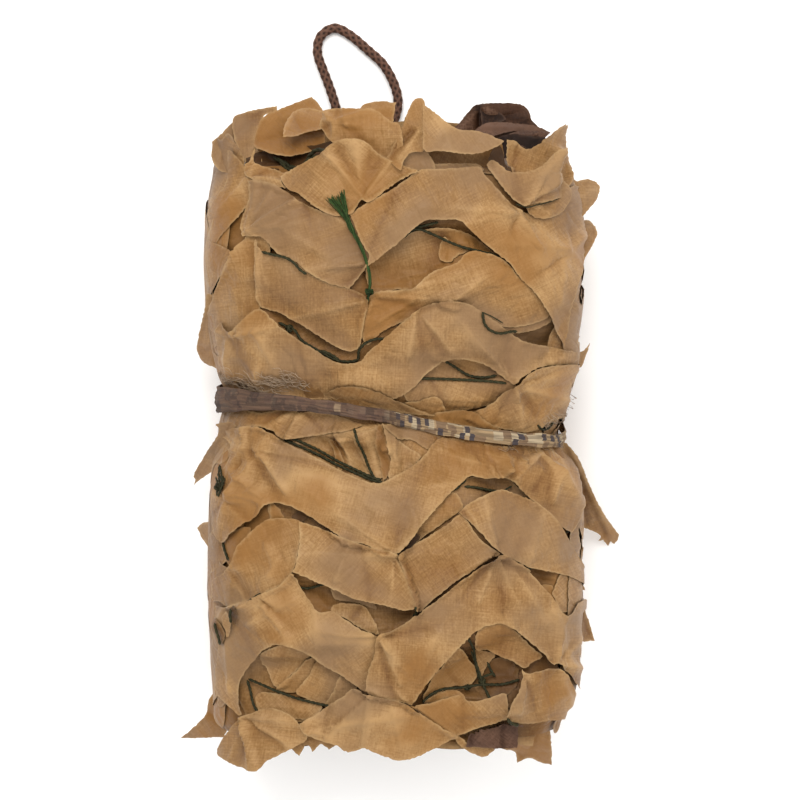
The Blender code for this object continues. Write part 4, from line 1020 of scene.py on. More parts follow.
LOWER_HALF = {
    "hollow_below_strap": dict(outline=[(278, 436), (330, 430), (385, 418), (425, 428), (446, 440),
        (422, 464), (404, 480), (383, 486), (350, 480), (310, 458)], base=-4.2, tone=0.05, hue=0.3,
        node=(392, 422), count=15, gather=2.4, folds=[(334, 445, 345, 470, -4.0, 1.3),
        (383, 428, 396, 462, 3.4, 1.1), (380, 440, 388, 468, -4.0, 1.3), (362, 440, 370, 470, 2.0, 2.0),
        (340, 440, 350, 462, 2.2, 1.4)]),
    # The two tuck pieces are dark slivers of painted shade beside the pleats.
    "left_tuck_shadow_below_strap": dict(outline=[(329, 440, 1), (336, 440), (340, 452), (345, 464), (342, 474, 1),
        (337, 464), (333, 452)], base=-1.6, tone=-0.8, hue=1.2, depth=0.12, rough=0.2, curl=0),
    "ridge_below_strap": dict(outline=[(356, 436), (372, 430), (381, 428), (386, 446), (389, 462),
        (386, 476), (376, 478), (364, 462)], base=-1.4, tone=0.05, hue=0.2, rough=0.4,
        folds=[(369, 436, 379, 470, 1.4, 1.6)]),
    "right_tuck_shadow_below_strap": dict(outline=[(379, 424, 1), (384, 428), (388, 446), (392, 470),
        (384, 482, 1), (381, 462), (377, 444)], base=-1.2, tone=-0.8, hue=1.2, depth=0.12, rough=0.2,
        curl=0),
    "fold_below_strap": dict(outline=[(383, 423, 1), (392, 432), (404, 444), (420, 456), (408, 470),
        (396, 480), (389, 478), (391, 460), (387, 440)], base=-0.6, tone=0.1, rough=0.4,
        folds=[(384, 425, 396, 458, 1.4, 1.0)]),
    "right_hollow": dict(outline=[(455, 476), (466, 478), (500, 474), (520, 488), (535, 500), (550, 522),
        (530, 520), (495, 512), (470, 515), (448, 508)], base=-2.8, tone=-0.25, hue=-0.7, depth=0.05),
    "slanting_strip": dict(outline=[(397, 552), (408, 535), (420, 520), (436, 505), (452, 492), (462, 506),
        (452, 516), (438, 526), (420, 540), (404, 556)], base=-0.9, tone=-0.15, hue=0.1),
    "slanting_strip_shadow": dict(outline=[(402, 540), (410, 533), (420, 536), (412, 546), (403, 552)],
        base=-0.3, depth=0.85, tone=-1),
    "middle_hollow": dict(outline=[(290, 566), (330, 580), (375, 600), (418, 604), (408, 626), (380, 638),
        (350, 630), (315, 614), (296, 592)], base=-4.6, tone=-0.3, hue=0.5, depth=0.2),
    "scrap_in_middle_hollow": dict(outline=[(332, 588), (352, 592), (368, 598), (376, 610), (356, 604),
        (334, 600)], base=-2.6, hue=-0.7, tone=-0.1),
    "fold_in_middle_hollow": dict(outline=[(338, 604), (362, 606), (372, 618), (379, 634), (362, 628),
        (345, 618), (330, 610)], base=-1.6, hue=0.3, folds=[(352, 619, 361, 606, -1.8, 0.7)]),
    "right_hollow_below": dict(outline=[(500, 556), (530, 562), (560, 570), (588, 582), (592, 606),
        (560, 618), (538, 604), (515, 582)], base=-4.6, tone=-0.5, hue=0.6, depth=0.25),
    "scrap_in_right_hollow": dict(outline=[(538, 594), (545, 584), (550, 590), (556, 606), (560, 615),
        (552, 613), (544, 603)], base=-2.4, tone=-0.2, hue=0.9, depth=0.15),
    "leaf_in_right_hollow": dict(outline=[(546, 592, 1), (552, 580), (557, 572), (566, 574), (572, 578),
        (573, 590), (568, 604), (562, 612), (554, 610), (550, 600)], base=-0.8, tone=0.05, hue=0.1),
    "left_hollow": dict(outline=[(272, 500), (300, 502), (330, 520), (356, 542), (330, 536), (300, 524),
        (274, 522)], base=-2.2, tone=-0.3, hue=-0.6, depth=0.1),
    "scrap_in_left_hollow": dict(outline=[(272, 502), (280, 508), (286, 520), (274, 522)], base=-1.0,
        hue=0.8, tone=-0.2),
    "shadow_in_left_hollow": dict(outline=[(293, 516), (302, 510), (310, 513), (302, 522)], base=-0.6,
        depth=0.75, tone=-0.8),
    "left_edge_scrap": dict(outline=[(222, 540), (238, 530), (252, 528), (244, 548), (234, 566),
        (226, 556)], base=-1.0, tone=-0.2, hue=0.8, depth=0.1),
    "left_edge": dict(outline=[(213, 482), (216, 500), (216, 530), (222, 560), (234, 572), (232, 600),
        (226, 640), (228, 700), (218, 706), (219, 680), (215, 640), (213, 600), (212, 560), (212, 520)],
        base=0.6, tone=-0.1, hue=-0.2),
    "right_edge": dict(outline=[(560, 447), (574, 462), (580, 490), (576, 530), (582, 565), (586, 600),
        (590, 650), (576, 700), (560, 694), (560, 600), (566, 520)], base=0.6, tone=-0.1, hue=-0.2),
    "low_left_hollow": dict(outline=[(236, 682), (260, 648), (285, 638), (322, 650), (352, 670), (370, 690),
        (335, 716), (292, 722), (252, 720)], base=-5.0, tone=-0.25, hue=0.3, depth=0.1),
    "low_left_leaf_top": dict(outline=[(262, 655), (286, 641), (304, 646), (312, 655), (294, 672),
        (276, 687), (268, 675)], base=-2.6, tone=-0.05, hue=-0.3),
    "low_left_leaf_middle": dict(outline=[(276, 688), (294, 673), (311, 656), (322, 660), (310, 680),
        (296, 692), (284, 694)], base=-3.4, tone=-0.15, hue=-0.2),
    "low_left_leaf_right": dict(outline=[(296, 692), (308, 676), (322, 658), (345, 673), (336, 690),
        (326, 706), (306, 700)], base=-2.4, tone=0.1, node=(340, 672)),
    "low_left_leaf_corner": dict(outline=[(324, 706), (334, 690), (344, 672), (357, 684), (350, 696),
        (332, 706)], base=-1.8, tone=0.05, hue=0.2),
    "low_left_lip": dict(outline=[(256, 694), (276, 694), (300, 698), (322, 706), (312, 718), (290, 718),
        (268, 712), (258, 708)], base=-2.0, hue=0.1),
    "low_right_hollow": dict(outline=[(405, 704), (430, 668), (455, 642), (478, 622), (522, 630),
        (552, 660), (564, 692), (530, 700), (505, 706), (455, 712)], base=-7.5, tone=-0.5, hue=0.5,
        depth=0.5),
    # Painted shade inside the pocket: cloth darkened and made amber.
    "low_right_pocket": dict(outline=[(486, 672), (500, 660), (520, 664), (518, 680), (505, 694),
        (490, 698)], base=-5.5, depth=0.6, tone=-0.8, hue=1),
    "low_right_leaf_left": dict(outline=[(424, 700), (430, 682), (442, 664), (456, 646), (470, 660),
        (480, 674), (472, 686), (452, 688)], base=-4.0, tone=-0.1, hue=0.1,
        folds=[(442, 662, 460, 686, -1.6, 1.2)]),
    "low_right_scrap": dict(outline=[(472, 650), (486, 652), (498, 656), (490, 668), (482, 680),
        (476, 664)], base=-4.4, hue=-0.6),
    "low_right_lip": dict(outline=[(424, 702), (436, 694), (450, 690), (460, 692), (464, 696), (446, 698),
        (432, 704)], base=-1.6, tone=-0.1, hue=0.4),
    "low_right_leaf_top": dict(outline=[(472, 634, 1), (478, 627), (490, 622), (503, 623), (518, 634),
        (532, 648), (540, 656), (530, 662), (523, 668), (512, 661), (499, 656), (487, 650), (474, 648)],
        base=-1.2, rise=1.0, root=(500, 625), tip=(515, 665), tone=0.05,
        folds=[(500, 628, 503, 654, -0.9, 1.4)]),
    "twine_below_strap": dict(twine=[(285, 439), (310, 450), (342, 467), (368, 479), (383, 483)],
        lift=(0.8, 1.2)),
    "second_twine_below_strap": dict(twine=[(289, 436), (313, 447), (344, 464), (370, 477), (382, 481)],
        lift=(0.6, 1.2)),
    "crossing_twine_below_strap": dict(twine=[(356, 428), (362, 444), (368, 462), (376, 480)],
        lift=(1.0, 1.4)),
    "twine_in_right_hollow": dict(twine=[(463, 487), (474, 488), (486, 490), (500, 492), (516, 496),
        (528, 500)], lift=(0.4, 0.4)),
    "twine_rising_in_right_hollow": dict(twine=[(453, 490), (459, 484), (464, 479)], lift=(0.6, 0.6),
        scale=1.5),
    "twine_tip_in_right_hollow": dict(twine=[(502, 492), (508, 488), (512, 486)], lift=(0.2, 0.2),
        scale=0.7),
    "twine_in_middle_hollow": dict(twine=[(298, 588), (306, 589), (318, 586), (328, 582)],
        lift=(-2.6, -2.0)),
    "twine_in_right_hollow_below": dict(twine=[(512, 570), (522, 569), (534, 568)], lift=(-0.6, -0.6)),
    "low_left_twine": dict(twine=[(248, 679), (262, 685), (280, 692), (304, 700), (330, 706)],
        lift=(-0.4, 0.4)),
    "low_left_twine_down": dict(twine=[(247, 680), (250, 690), (254, 702), (260, 712)], lift=(-0.4, 0.0)),
    "low_right_twine_down": dict(twine=[(466, 636), (472, 650), (478, 668), (484, 686), (488, 698)],
        lift=(-0.6, -0.6)),
    "low_right_twine_beside": dict(twine=[(470, 650), (476, 664), (480, 680)], lift=(-0.9, -1.2),
        scale=0.8),
    "low_right_twine_along": dict(twine=[(422, 702), (430, 694), (442, 689), (456, 688), (468, 687),
        (480, 685), (500, 684), (518, 679)], lift=(-0.4, -0.6)),
    "low_right_twine_short": dict(twine=[(489, 663), (492, 670), (497, 678)], lift=(-2.0, -2.0)),
    "low_right_twine_branch": dict(twine=[(480, 684), (484, 678), (494, 674)], lift=(-1.6, -1.6)),
    "low_right_knot": dict(knot=(468, 688), size=3.6, lift=-1.4),
    "low_right_small_knot": dict(knot=(484, 682), size=3.2, lift=-1.2),
    "left_edge_twine": dict(twine=[(226, 542), (228, 550), (232, 560)], lift=(0.4, 0.4)),
    "left_leaf_under_strap": dict(outline=[(232, 409, 1), (245, 409), (262, 413), (282, 409), (296, 402, 1),
        (301, 400), (306, 404), (300, 412), (325, 412), (364, 425, 1), (352, 430), (330, 433), (310, 436),
        (288, 439), (276, 430), (262, 426), (240, 428), (230, 424)], base=2.0, hue=0.3, node=(300, 408),
        gather=1.6, count=11, folds=[(300, 408, 272, 430, 2.0, 0.9), (298, 404, 270, 420, -2.2, 1.2),
        (303, 414, 292, 436, 1.6, 0.8)]),
    "scrap_under_strap": dict(outline=[(385, 426), (400, 424), (420, 428), (434, 434), (446, 440),
        (430, 450), (412, 440), (398, 438)], base=0.6, tone=-0.3, hue=-0.5),
    "right_edge_twine": dict(twine=[(572, 496), (571, 506), (568, 520), (562, 533)], lift=(1.8, 1.6)),
    "fourth_band": dict(outline=[(228, 428), (240, 428), (262, 426), (274, 430), (287, 440), (300, 448),
        (320, 459), (340, 470), (356, 478), (370, 483), (384, 483), (400, 474), (412, 466), (424, 454),
        (436, 440), (450, 438), (500, 446), (560, 447), (574, 464), (578, 496), (566, 532), (548, 520),
        (535, 508), (520, 492), (508, 480), (496, 477), (480, 479), (466, 477), (458, 484), (440, 502),
        (420, 524), (404, 546), (394, 554), (380, 550), (366, 544), (350, 541), (336, 531), (322, 521),
        (308, 511), (294, 504), (280, 502), (271, 505, 1), (262, 516), (248, 526), (238, 534), (226, 543),
        (216, 528), (214, 500), (222, 474), (232, 462), (236, 444), (226, 436)], base=2.6, rise=1.6,
        root=(330, 470), tip=(330, 535), node=(250, 449), nodes=[(394, 552), (500, 478), (540, 452),
        (232, 500)], count=11, gather=1.6, tone=0.15, folds=[(254, 454, 284, 494, -2.4, 1.6),
        (262, 452, 290, 490, 2.0, 1.1), (236, 470, 270, 498, 2.0, 1.0), (234, 492, 268, 502, 1.4, 1.0),
        (238, 462, 250, 449, 1.6, 0.8), (250, 449, 232, 430, 1.4, 1.0), (300, 470, 380, 500, 1.2, 4.0),
        (420, 470, 400, 520, -1.0, 3.0), (462, 442, 484, 466, -1.8, 0.7), (478, 446, 512, 478, 1.6, 1.2),
        (506, 446, 502, 470, 2.0, 1.0), (520, 448, 506, 478, -2.0, 0.9), (544, 450, 512, 476, 1.8, 0.9),
        (530, 447, 524, 462, -1.6, 0.8), (492, 444, 500, 458, -1.8, 0.9), (440, 450, 470, 462, 1.4, 1.4),
        (560, 448, 548, 500, 1.6, 1.0), (556, 448, 530, 490, -1.4, 1.0), (470, 460, 500, 470, 1.2, 0.7),
        (484, 452, 520, 462, 1.2, 0.6)]),
    "fifth_band_left": dict(outline=[(236, 564, 1), (240, 552), (248, 540), (258, 529), (270, 520),
        (284, 518), (304, 521), (303, 540), (300, 556), (296, 570), (284, 584), (268, 592), (250, 600),
        (232, 606), (222, 602), (214, 600), (214, 580), (224, 574)], base=2.0, rise=1.0, root=(260, 590),
        tip=(275, 520), tone=0.05, node=(231, 566), folds=[(270, 545, 275, 560, 1.2, 1.2),
        (280, 560, 272, 575, 1.0, 1.0)]),
    "fifth_band_left_twine": dict(twine=[(265, 592), (258, 597), (250, 603)], lift=(3.6, 3.6), scale=0.8),
    "fifth_band_middle": dict(outline=[(304, 521, 1), (318, 526), (332, 531), (350, 539), (372, 547),
        (396, 553), (402, 566), (408, 584), (415, 604), (404, 608), (390, 604), (372, 600), (352, 595),
        (336, 588), (318, 580), (297, 571, 1), (302, 556), (304, 540)], base=3.0, rise=2.0, root=(360, 545),
        tip=(370, 604), tone=0.1, node=(394, 556), count=9, gather=1.4,
        folds=[(352, 544, 338, 578, 1.8, 1.0), (360, 546, 372, 598, -1.2, 1.4),
        (394, 556, 356, 560, 1.0, 1.4)]),
    "fifth_band_middle_twine": dict(twine=[(414, 604), (416, 610), (413, 617)], lift=(1.4, 1.4), scale=1.2),
    "fifth_band_right": dict(outline=[(398, 555), (410, 546), (430, 534), (446, 523), (460, 513),
        (468, 524), (480, 540), (494, 552), (482, 560), (466, 572), (452, 582), (434, 596), (418, 610),
        (412, 596), (404, 574)], base=2.4, node=(492, 551), gather=1.4,
        folds=[(404, 566, 416, 604, -1.2, 1.0)]),
    "fifth_band_far_right": dict(outline=[(457, 512, 1), (464, 505), (474, 499), (485, 494), (497, 491),
        (510, 494), (526, 501), (540, 512), (552, 526), (566, 546), (580, 570), (586, 590, 1), (574, 584),
        (556, 574), (540, 570), (524, 566), (508, 558), (494, 551), (484, 540), (472, 526)], base=3.2,
        rise=1.6, root=(495, 550), tip=(505, 495), tone=0.1, node=(493, 552), count=9, gather=1.5,
        folds=[(462, 514, 483, 546, -2.6, 1.0), (466, 512, 488, 548, 1.6, 0.8),
        (524, 560, 536, 516, 1.2, 1.6), (510, 556, 524, 520, -0.9, 1.4)]),
    "sixth_band_left": dict(outline=[(218, 606), (232, 606), (250, 600), (268, 592), (284, 584), (297, 572),
        (302, 585), (312, 600), (322, 611), (334, 610), (346, 618), (362, 627), (378, 634), (376, 652),
        (370, 676), (368, 690), (356, 682), (344, 673), (330, 663), (316, 652), (300, 643), (286, 640),
        (270, 645), (258, 660), (248, 678), (246, 700), (248, 714), (238, 708), (226, 700), (219, 690),
        (220, 660), (222, 636)], base=2.6, rise=1.2, root=(290, 590), tip=(290, 640), tone=0.15,
        node=(380, 634), nodes=[(231, 606), (262, 596)], count=9, gather=1.5,
        folds=[(256, 622, 296, 600, 1.6, 1.2), (316, 612, 320, 640, 1.0, 1.6),
        (232, 640, 236, 690, 1.4, 1.0), (330, 640, 372, 640, 1.2, 2.0), (262, 632, 300, 628, -0.8, 2.4)]),
    "left_opening_shadow": dict(outline=[(217, 620, 1), (221, 615), (228, 622), (232, 634), (229, 646, 1),
        (222, 640), (218, 630)], base=3.2, depth=0.3, tone=-0.9, hue=1, rough=0.2),
    "left_opening_lip": dict(outline=[(229, 616, 1), (236, 610), (238, 622), (235, 636), (232, 628)],
        base=3.4, tone=0.1, hue=0.4),
    "left_slit_shadow": dict(outline=[(241, 608, 1), (247, 603), (247, 612), (243, 623, 1), (240, 616)],
        base=3.2, depth=0.75, tone=-1, rough=0.2),
    "left_opening_twine": dict(twine=[(224, 622), (226, 632), (228, 643)], lift=(3.2, 3.2)),
    "left_slit_twine": dict(twine=[(245, 607), (243, 614), (242, 621)], lift=(3.2, 3.2)),
    "sixth_band_right": dict(outline=[(379, 634), (392, 627), (404, 621), (418, 610), (440, 594),
        (465, 574), (480, 562), (494, 552), (508, 559), (520, 566), (534, 580), (548, 600), (558, 614),
        (570, 600), (582, 600), (588, 630), (590, 648), (580, 672), (574, 690), (562, 676), (550, 662),
        (545, 664), (538, 654), (524, 640), (510, 627), (496, 621), (480, 625), (468, 632), (452, 646),
        (438, 660), (426, 676), (410, 703, 1), (396, 698), (370, 690), (370, 670), (376, 652)], base=3.0,
        rise=1.4, root=(500, 560), tip=(460, 640), tone=0.15, node=(494, 554), nodes=[(380, 636),
        (550, 664), (409, 702)], count=12, gather=1.4, folds=[(492, 558, 476, 600, 1.8, 0.9),
        (498, 560, 500, 610, -1.2, 1.4), (510, 566, 540, 620, 1.2, 1.4), (384, 640, 400, 680, 1.6, 1.2),
        (470, 580, 430, 640, 1.2, 2.6), (548, 612, 566, 664, 1.2, 1.2)]),
    "foot_middle_right_leaf": dict(outline=[(408, 703, 1), (424, 703), (445, 697), (462, 694), (466, 700),
        (484, 698), (502, 692), (505, 705), (504, 717, 1), (488, 722), (470, 728), (458, 733), (446, 734),
        (430, 722)], base=1.4, tone=-0.05, hue=0.2, node=(409, 704), folds=[(462, 696, 461, 724, -1.6, 1.0),
        (412, 704, 450, 732, 1.6, 0.8)]),
    "foot_right_leaf": dict(outline=[(518, 668, 1), (523, 672), (536, 668), (549, 667), (560, 676),
        (568, 690), (574, 706), (573, 718, 1), (560, 719), (540, 717), (520, 719), (506, 717), (501, 712),
        (507, 700), (515, 686)], base=3.2, rise=1.6, root=(560, 665), tip=(530, 718), tone=0.1,
        node=(520, 670), gather=1.4, folds=[(522, 676, 514, 706, 1.8, 1.0), (552, 670, 568, 712, 1.4, 0.9),
        (540, 672, 546, 712, -0.9, 1.8)]),
    "foot_twine": dict(twine=[(501, 712), (504, 717), (512, 720)], lift=(3.4, 3.0), scale=1.3),
    "foot_left_leaf": dict(outline=[(247, 716, 1), (258, 711), (272, 707), (290, 711), (300, 717),
        (306, 724), (312, 736), (300, 744), (284, 753), (272, 760), (265, 768), (250, 766), (234, 762),
        (220, 755), (222, 742), (234, 728)], base=2.4, rise=1.5, root=(248, 715), tip=(255, 764), tone=0.15,
        node=(247, 715), count=15, gather=2.0, folds=[(247, 718, 234, 756, 1.6, 0.9),
        (248, 718, 262, 764, 1.6, 0.8), (250, 716, 286, 746, -1.4, 1.4), (245, 718, 246, 752, -1.4, 1.4)]),
    "foot_middle_leaf": dict(outline=[(306, 722), (318, 714), (332, 704), (346, 695), (356, 686),
        (368, 690), (386, 694), (398, 698), (409, 704), (428, 718), (452, 734), (447, 737), (438, 742),
        (426, 748), (412, 755), (398, 758), (384, 753), (366, 746), (350, 750), (338, 742), (322, 738),
        (312, 732)], base=3.0, rise=1.8, root=(380, 692), tip=(400, 756), tone=0.2, node=(372, 691),
        nodes=[(312, 728)], count=9, gather=1.5, folds=[(370, 694, 364, 740, 1.6, 1.0),
        (409, 705, 446, 732, 1.4, 0.7), (330, 708, 326, 736, -1.2, 1.2), (394, 712, 400, 740, 1.0, 2.0)]),
}

# The pieces that stand free of the roll, by the name of the solid that they dress.
# slope: a column, a row and a height in mm at the root, then the same at the tip.
FREE = {
    "leaf_rim_left": [
        # The first piece, the mouth's back wall, is darker and amber as painted shade.
        dict(outline=[(254, 146), (256, 134), (262, 118), (280, 109), (300, 101), (312, 97, 1), (317, 102),
            (323, 110), (332, 113), (335, 122), (326, 134), (324, 146), (314, 150), (302, 154), (288, 156),
            (274, 154), (262, 150)], slope=((290, 158, 93), (306, 99, 62)), hue=1.0, tone=-0.35,
            folds=[(262, 120, 320, 112, 1.2, 2.0), (262, 140, 320, 132, -2.0, 2.4)]),
        dict(outline=[(283, 137, 1), (284, 127), (289, 117), (297, 110), (308, 108), (322, 111),
            (332, 117, 1), (331, 124), (322, 129), (308, 132), (296, 136)],
            slope=((300, 134, 92), (308, 108, 72)), hue=0.9, tone=0.25, rough=0.6,
            folds=[(284, 136, 294, 115, 2.4, 1.2), (294, 115, 303, 134, -1.4, 1.2),
            (300, 112, 328, 124, 1.0, 1.2)]),
        dict(outline=[(232, 124, 1), (235, 116), (254, 110), (277, 106, 1), (276, 112), (264, 116),
            (261, 130), (257, 146), (262, 160), (256, 178), (250, 168), (240, 154), (234, 138)],
            slope=((250, 165, 90), (252, 108, 64)), folds=[(240, 132, 262, 110, -1.2, 1.6),
            (250, 160, 258, 128, 1.4, 1.0)]),
    ],
    "leaf_rim_back": [
        dict(outline=[(355, 113, 1), (362, 106), (372, 102), (383, 101), (396, 103, 1), (394, 114),
            (392, 124), (380, 128), (364, 122)], slope=((376, 126, 48), (376, 101, 34)), hue=0.5,
            folds=[(362, 112, 392, 106, 1.0, 1.2)]),
    ],
    "leaf_rim_spike": [
        dict(outline=[(384, 160, 1), (392, 148), (399, 132), (406, 116), (413, 101, 1), (424, 100, 1),
            (425, 125), (424, 150), (412, 158), (400, 168)], slope=((402, 164, 86), (418, 101, 90)),
            tone=-0.1, rough=0.5, folds=[(389, 157, 416, 128, -2.4, 1.3), (400, 158, 420, 128, 1.6, 1.0)]),
    ],
    "leaf_rim_right": [
        dict(outline=[(542, 141, 1), (552, 134), (559, 128), (566, 124, 1), (565, 142), (566, 160),
            (574, 175), (566, 188), (550, 176), (542, 158)], slope=((552, 180, 90), (564, 124, 68)),
            rough=0.5),
    ],
    "leaf_side_high": [
        dict(outline=[(560, 180, 1), (570, 176), (577, 181), (586, 179), (596, 182), (600, 188), (597, 199),
            (588, 210), (578, 222), (566, 238), (556, 222), (554, 198)],
            slope=((560, 204, 82), (600, 190, 55)), bow=3, tone=0.05, rough=0.6,
            folds=[(562, 206, 592, 190, 0.9, 1.6)]),
    ],
    "leaf_side_mid": [
        dict(outline=[(566, 240), (572, 230), (578, 222), (587, 220), (594, 225), (597, 234), (592, 246),
            (583, 262), (578, 276), (570, 284), (563, 262)], slope=((566, 252, 76), (596, 234, 55)), bow=3,
            rough=0.6, folds=[(574, 240, 582, 258, 0.9, 1.4)]),
    ],
    "flap_right_fold": [
        dict(outline=[(562, 440, 1), (570, 447), (580, 461), (590, 486), (604, 514), (619, 535, 1),
            (617, 541, 1), (614, 544, 1), (611, 541, 1), (608, 546, 1), (603, 540, 1), (598, 541, 1),
            (601, 536), (590, 530), (577, 525, 1), (578, 508), (572, 488), (566, 462)],
            slope=((566, 448, 62), (612, 538, 5)), bow=8, tone=-0.05, rough=0.6,
            folds=[(572, 452, 610, 534, 2.6, 1.6), (578, 478, 586, 522, -2.0, 1.4),
            (584, 490, 604, 532, -1.6, 1.0)]),
    ],
    "flap_right_low": [
        dict(outline=[(570, 560), (577, 543), (583, 547), (582, 562), (581, 575), (585, 590, 1), (579, 591),
            (584, 606), (589, 622), (595, 641, 1), (588, 641), (580, 640), (572, 624), (568, 590)],
            slope=((570, 592, 68), (596, 592, 46)), tone=-0.05, rough=0.7,
            folds=[(574, 592, 588, 634, -1.4, 0.9)]),
    ],
    "flap_left_mid": [
        dict(outline=[(208, 294), (204, 312), (200, 330), (197, 346), (199, 356), (206, 364), (216, 368),
            (222, 376, 1), (230, 362), (230, 330), (220, 302)], slope=((224, 335, 74), (197, 350, 44)),
            bow=3, rough=0.6, folds=[(221, 322, 217, 362, -1.8, 0.9), (204, 352, 216, 346, -1.2, 1.0)]),
    ],
    "flap_left_low": [
        dict(outline=[(216, 424), (219, 432), (205, 455), (194, 474), (195, 480), (193, 486, 1), (201, 479),
            (210, 473), (222, 466), (236, 462), (242, 444), (234, 424)],
            slope=((238, 436, 83), (196, 480, 30)), bow=6, tone=-0.05, hue=-0.2, rough=0.6,
            folds=[(212, 470, 228, 440, 0.9, 1.4)]),
    ],
    "flap_left_small": [
        dict(outline=[(226, 516), (212, 521), (203, 523), (197, 528, 1), (202, 538), (209, 548), (216, 562),
            (226, 560), (230, 536)], slope=((226, 540, 80), (197, 529, 46)), bow=3, hue=-0.3, rough=0.6,
            folds=[(212, 522, 224, 556, 1.2, 0.8)]),
    ],
    "flap_floor_left": [
        dict(outline=[(212, 694, 1), (208, 702), (206, 714), (194, 727), (180, 738, 1), (200, 738),
            (224, 737, 1), (230, 722), (226, 704)], slope=((222, 712, 44), (180, 738, 2)), bow=5, hue=0.4,
            rough=0.6, folds=[(210, 700, 224, 712, 1.6, 1.2), (208, 712, 222, 722, -1.8, 1.2)]),
    ],
    "leaf_end_right": [
        dict(outline=[(500, 716), (520, 716), (548, 719, 1), (551, 740), (552, 765, 1), (540, 762),
            (528, 758), (517, 763, 1), (515, 752), (502, 749, 1), (510, 738)],
            slope=((526, 716, 88), (540, 766, 52)), bow=3, hue=0.5, rough=0.7,
            folds=[(538, 730, 532, 745, -1.8, 1.0), (518, 724, 540, 736, 1.2, 1.2),
            (530, 745, 516, 742, 1.2, 0.8), (512, 750, 522, 756, -1.8, 0.8)]),
    ],
}

# The brown cloth, and the scraps along the foot that lie lowest of all
BROWN_TOP = {
    "shade_behind": dict(outline=[(486, 152), (494, 140), (510, 134), (530, 136), (546, 138), (540, 148),
        (528, 158), (504, 158)], slope=((514, 154, 78), (520, 136, 72)), tone=-1.0, depth=0.5),
    "rolled_back": dict(outline=[(452, 130, 1), (461, 121), (470, 110), (479, 104), (500, 103), (520, 104),
        (528, 110), (532, 120), (538, 130), (520, 140), (490, 138), (468, 134)],
        slope=((494, 136, 60), (496, 103, 50)), folds=[(479, 106, 480, 130, -3.0, 1.0),
        (484, 108, 500, 116, 1.6, 1.2), (500, 116, 524, 120, -1.6, 1.4), (463, 126, 477, 112, 1.4, 1.4)]),
    # A dark sheet of painted shadow in the rolled hollow.
    "shadow_in_rolled_hollow": dict(outline=[(480, 106, 1), (490, 107), (499, 112), (506, 119), (494, 124),
        (482, 127, 1)], slope=((492, 126, 61), (494, 107, 51)), tone=-0.8, depth=0.3, rough=0.3),
    # front_lip is paler, partly a painted highlight along its fold.
    "front_lip": dict(outline=[(474, 131, 1), (484, 124), (500, 122), (520, 124), (536, 126), (550, 132, 1),
        (530, 133), (512, 131), (500, 134), (488, 136)], slope=((500, 136, 70), (508, 123, 62)), tone=0.6,
        folds=[(486, 127, 544, 129, 1.4, 1.0)]),
    "right_fold": dict(outline=[(500, 139, 1), (512, 133), (528, 130), (551, 132, 1), (542, 140),
        (527, 148, 1), (514, 144)], slope=((524, 146, 74), (530, 131, 66)), tone=-0.1,
        folds=[(510, 137, 545, 134, 1.8, 0.9), (514, 140, 536, 139, -2.4, 0.8)]),
}

BROWN_END = {
    "foot_fold": dict(outline=[(464, 746, 1), (468, 734), (480, 729), (492, 724), (503, 720), (516, 720, 1),
        (516, 734), (515, 747, 1), (500, 748), (482, 747)], base=0.8, tone=0.8, rough=0.3,
        folds=[(503, 720, 501, 748, -2.6, 0.6), (470, 733, 466, 746, -2.6, 1.0)]),
}

FOOT = {
    "right_scrap": dict(outline=[(452, 733), (460, 737), (468, 744), (482, 747), (496, 748), (490, 754),
        (482, 757), (470, 752), (458, 745)], base=0.0, hue=0.5, tone=0.1),
    "left_fringe": dict(outline=[(286, 744), (300, 738), (318, 730), (332, 736), (336, 744), (328, 750, 1),
        (321, 744), (312, 752, 1), (306, 745), (298, 757, 1), (293, 750)], base=-0.6, tone=-0.3, hue=0.6),
    "left_scrap": dict(outline=[(314, 726), (328, 722), (344, 730), (352, 738), (336, 740), (322, 736)],
        base=0.4, tone=-0.2, hue=-1.2),
}


# ---------------------------------------------------------------- twines, threads and the braided cord
TWINE_RADIUS, THREAD_RADIUS = 0.8, 0.13  # in millimetres
TWINE_SPACING = 0.9  # millimetres
CURVE_STEPS = 24
TUBE_END = 0.35  # a tube's end is this much thinner
STRAND_PITCH, STRAND_OFF, STRAND_RADIUS = 6.5, 0.32, 0.68  # in radii of the twine
STRAND_SHADE = 0.12
KNOT_POINTS, KNOT_SPACING = 7, 0.0008


def curve_through(points, spacing):
    """A smooth line through points of any number of values, at an even spacing."""
    points = np.array(points, float)
    ends = np.concatenate([[2 * points[0] - points[1]], points, [2 * points[-1] - points[-2]]])
    fine = []
    for p, a, b, q in zip(ends, ends[1:], ends[2:], ends[3:]):
        t = np.linspace(0, 1, CURVE_STEPS, endpoint=False)[:, None]
        square, cube = 2 * p - 5 * a + 4 * b - q, 3 * a - 3 * b + q - p
        fine.append(0.5 * (2 * a + (b - p) * t + square * t**2 + cube * t**3))
    fine = np.concatenate(fine + [points[-1:]])
    run = np.concatenate([[0], np.cumsum(np.linalg.norm(np.diff(fine, axis=0), axis=1))])
    at = np.linspace(0, run[-1], max(3, round(run[-1] / spacing) + 1))
    return np.stack([np.interp(at, run, fine[:, k]) for k in range(fine.shape[1])], axis=1)


def sides_of(line):
    """Two directions across a line at each of its points, carried along it without a twist."""
    tangents = [(Vector(b) - Vector(a)).normalized() for a, b in zip(line, line[1:])]
    tangents.append(tangents[-1])
    side = tangents[0].orthogonal().normalized()
    pairs = []
    for tangent in tangents:
        side = (side - tangent * side.dot(tangent)).normalized()
        pairs.append((side, tangent.cross(side)))
    return pairs


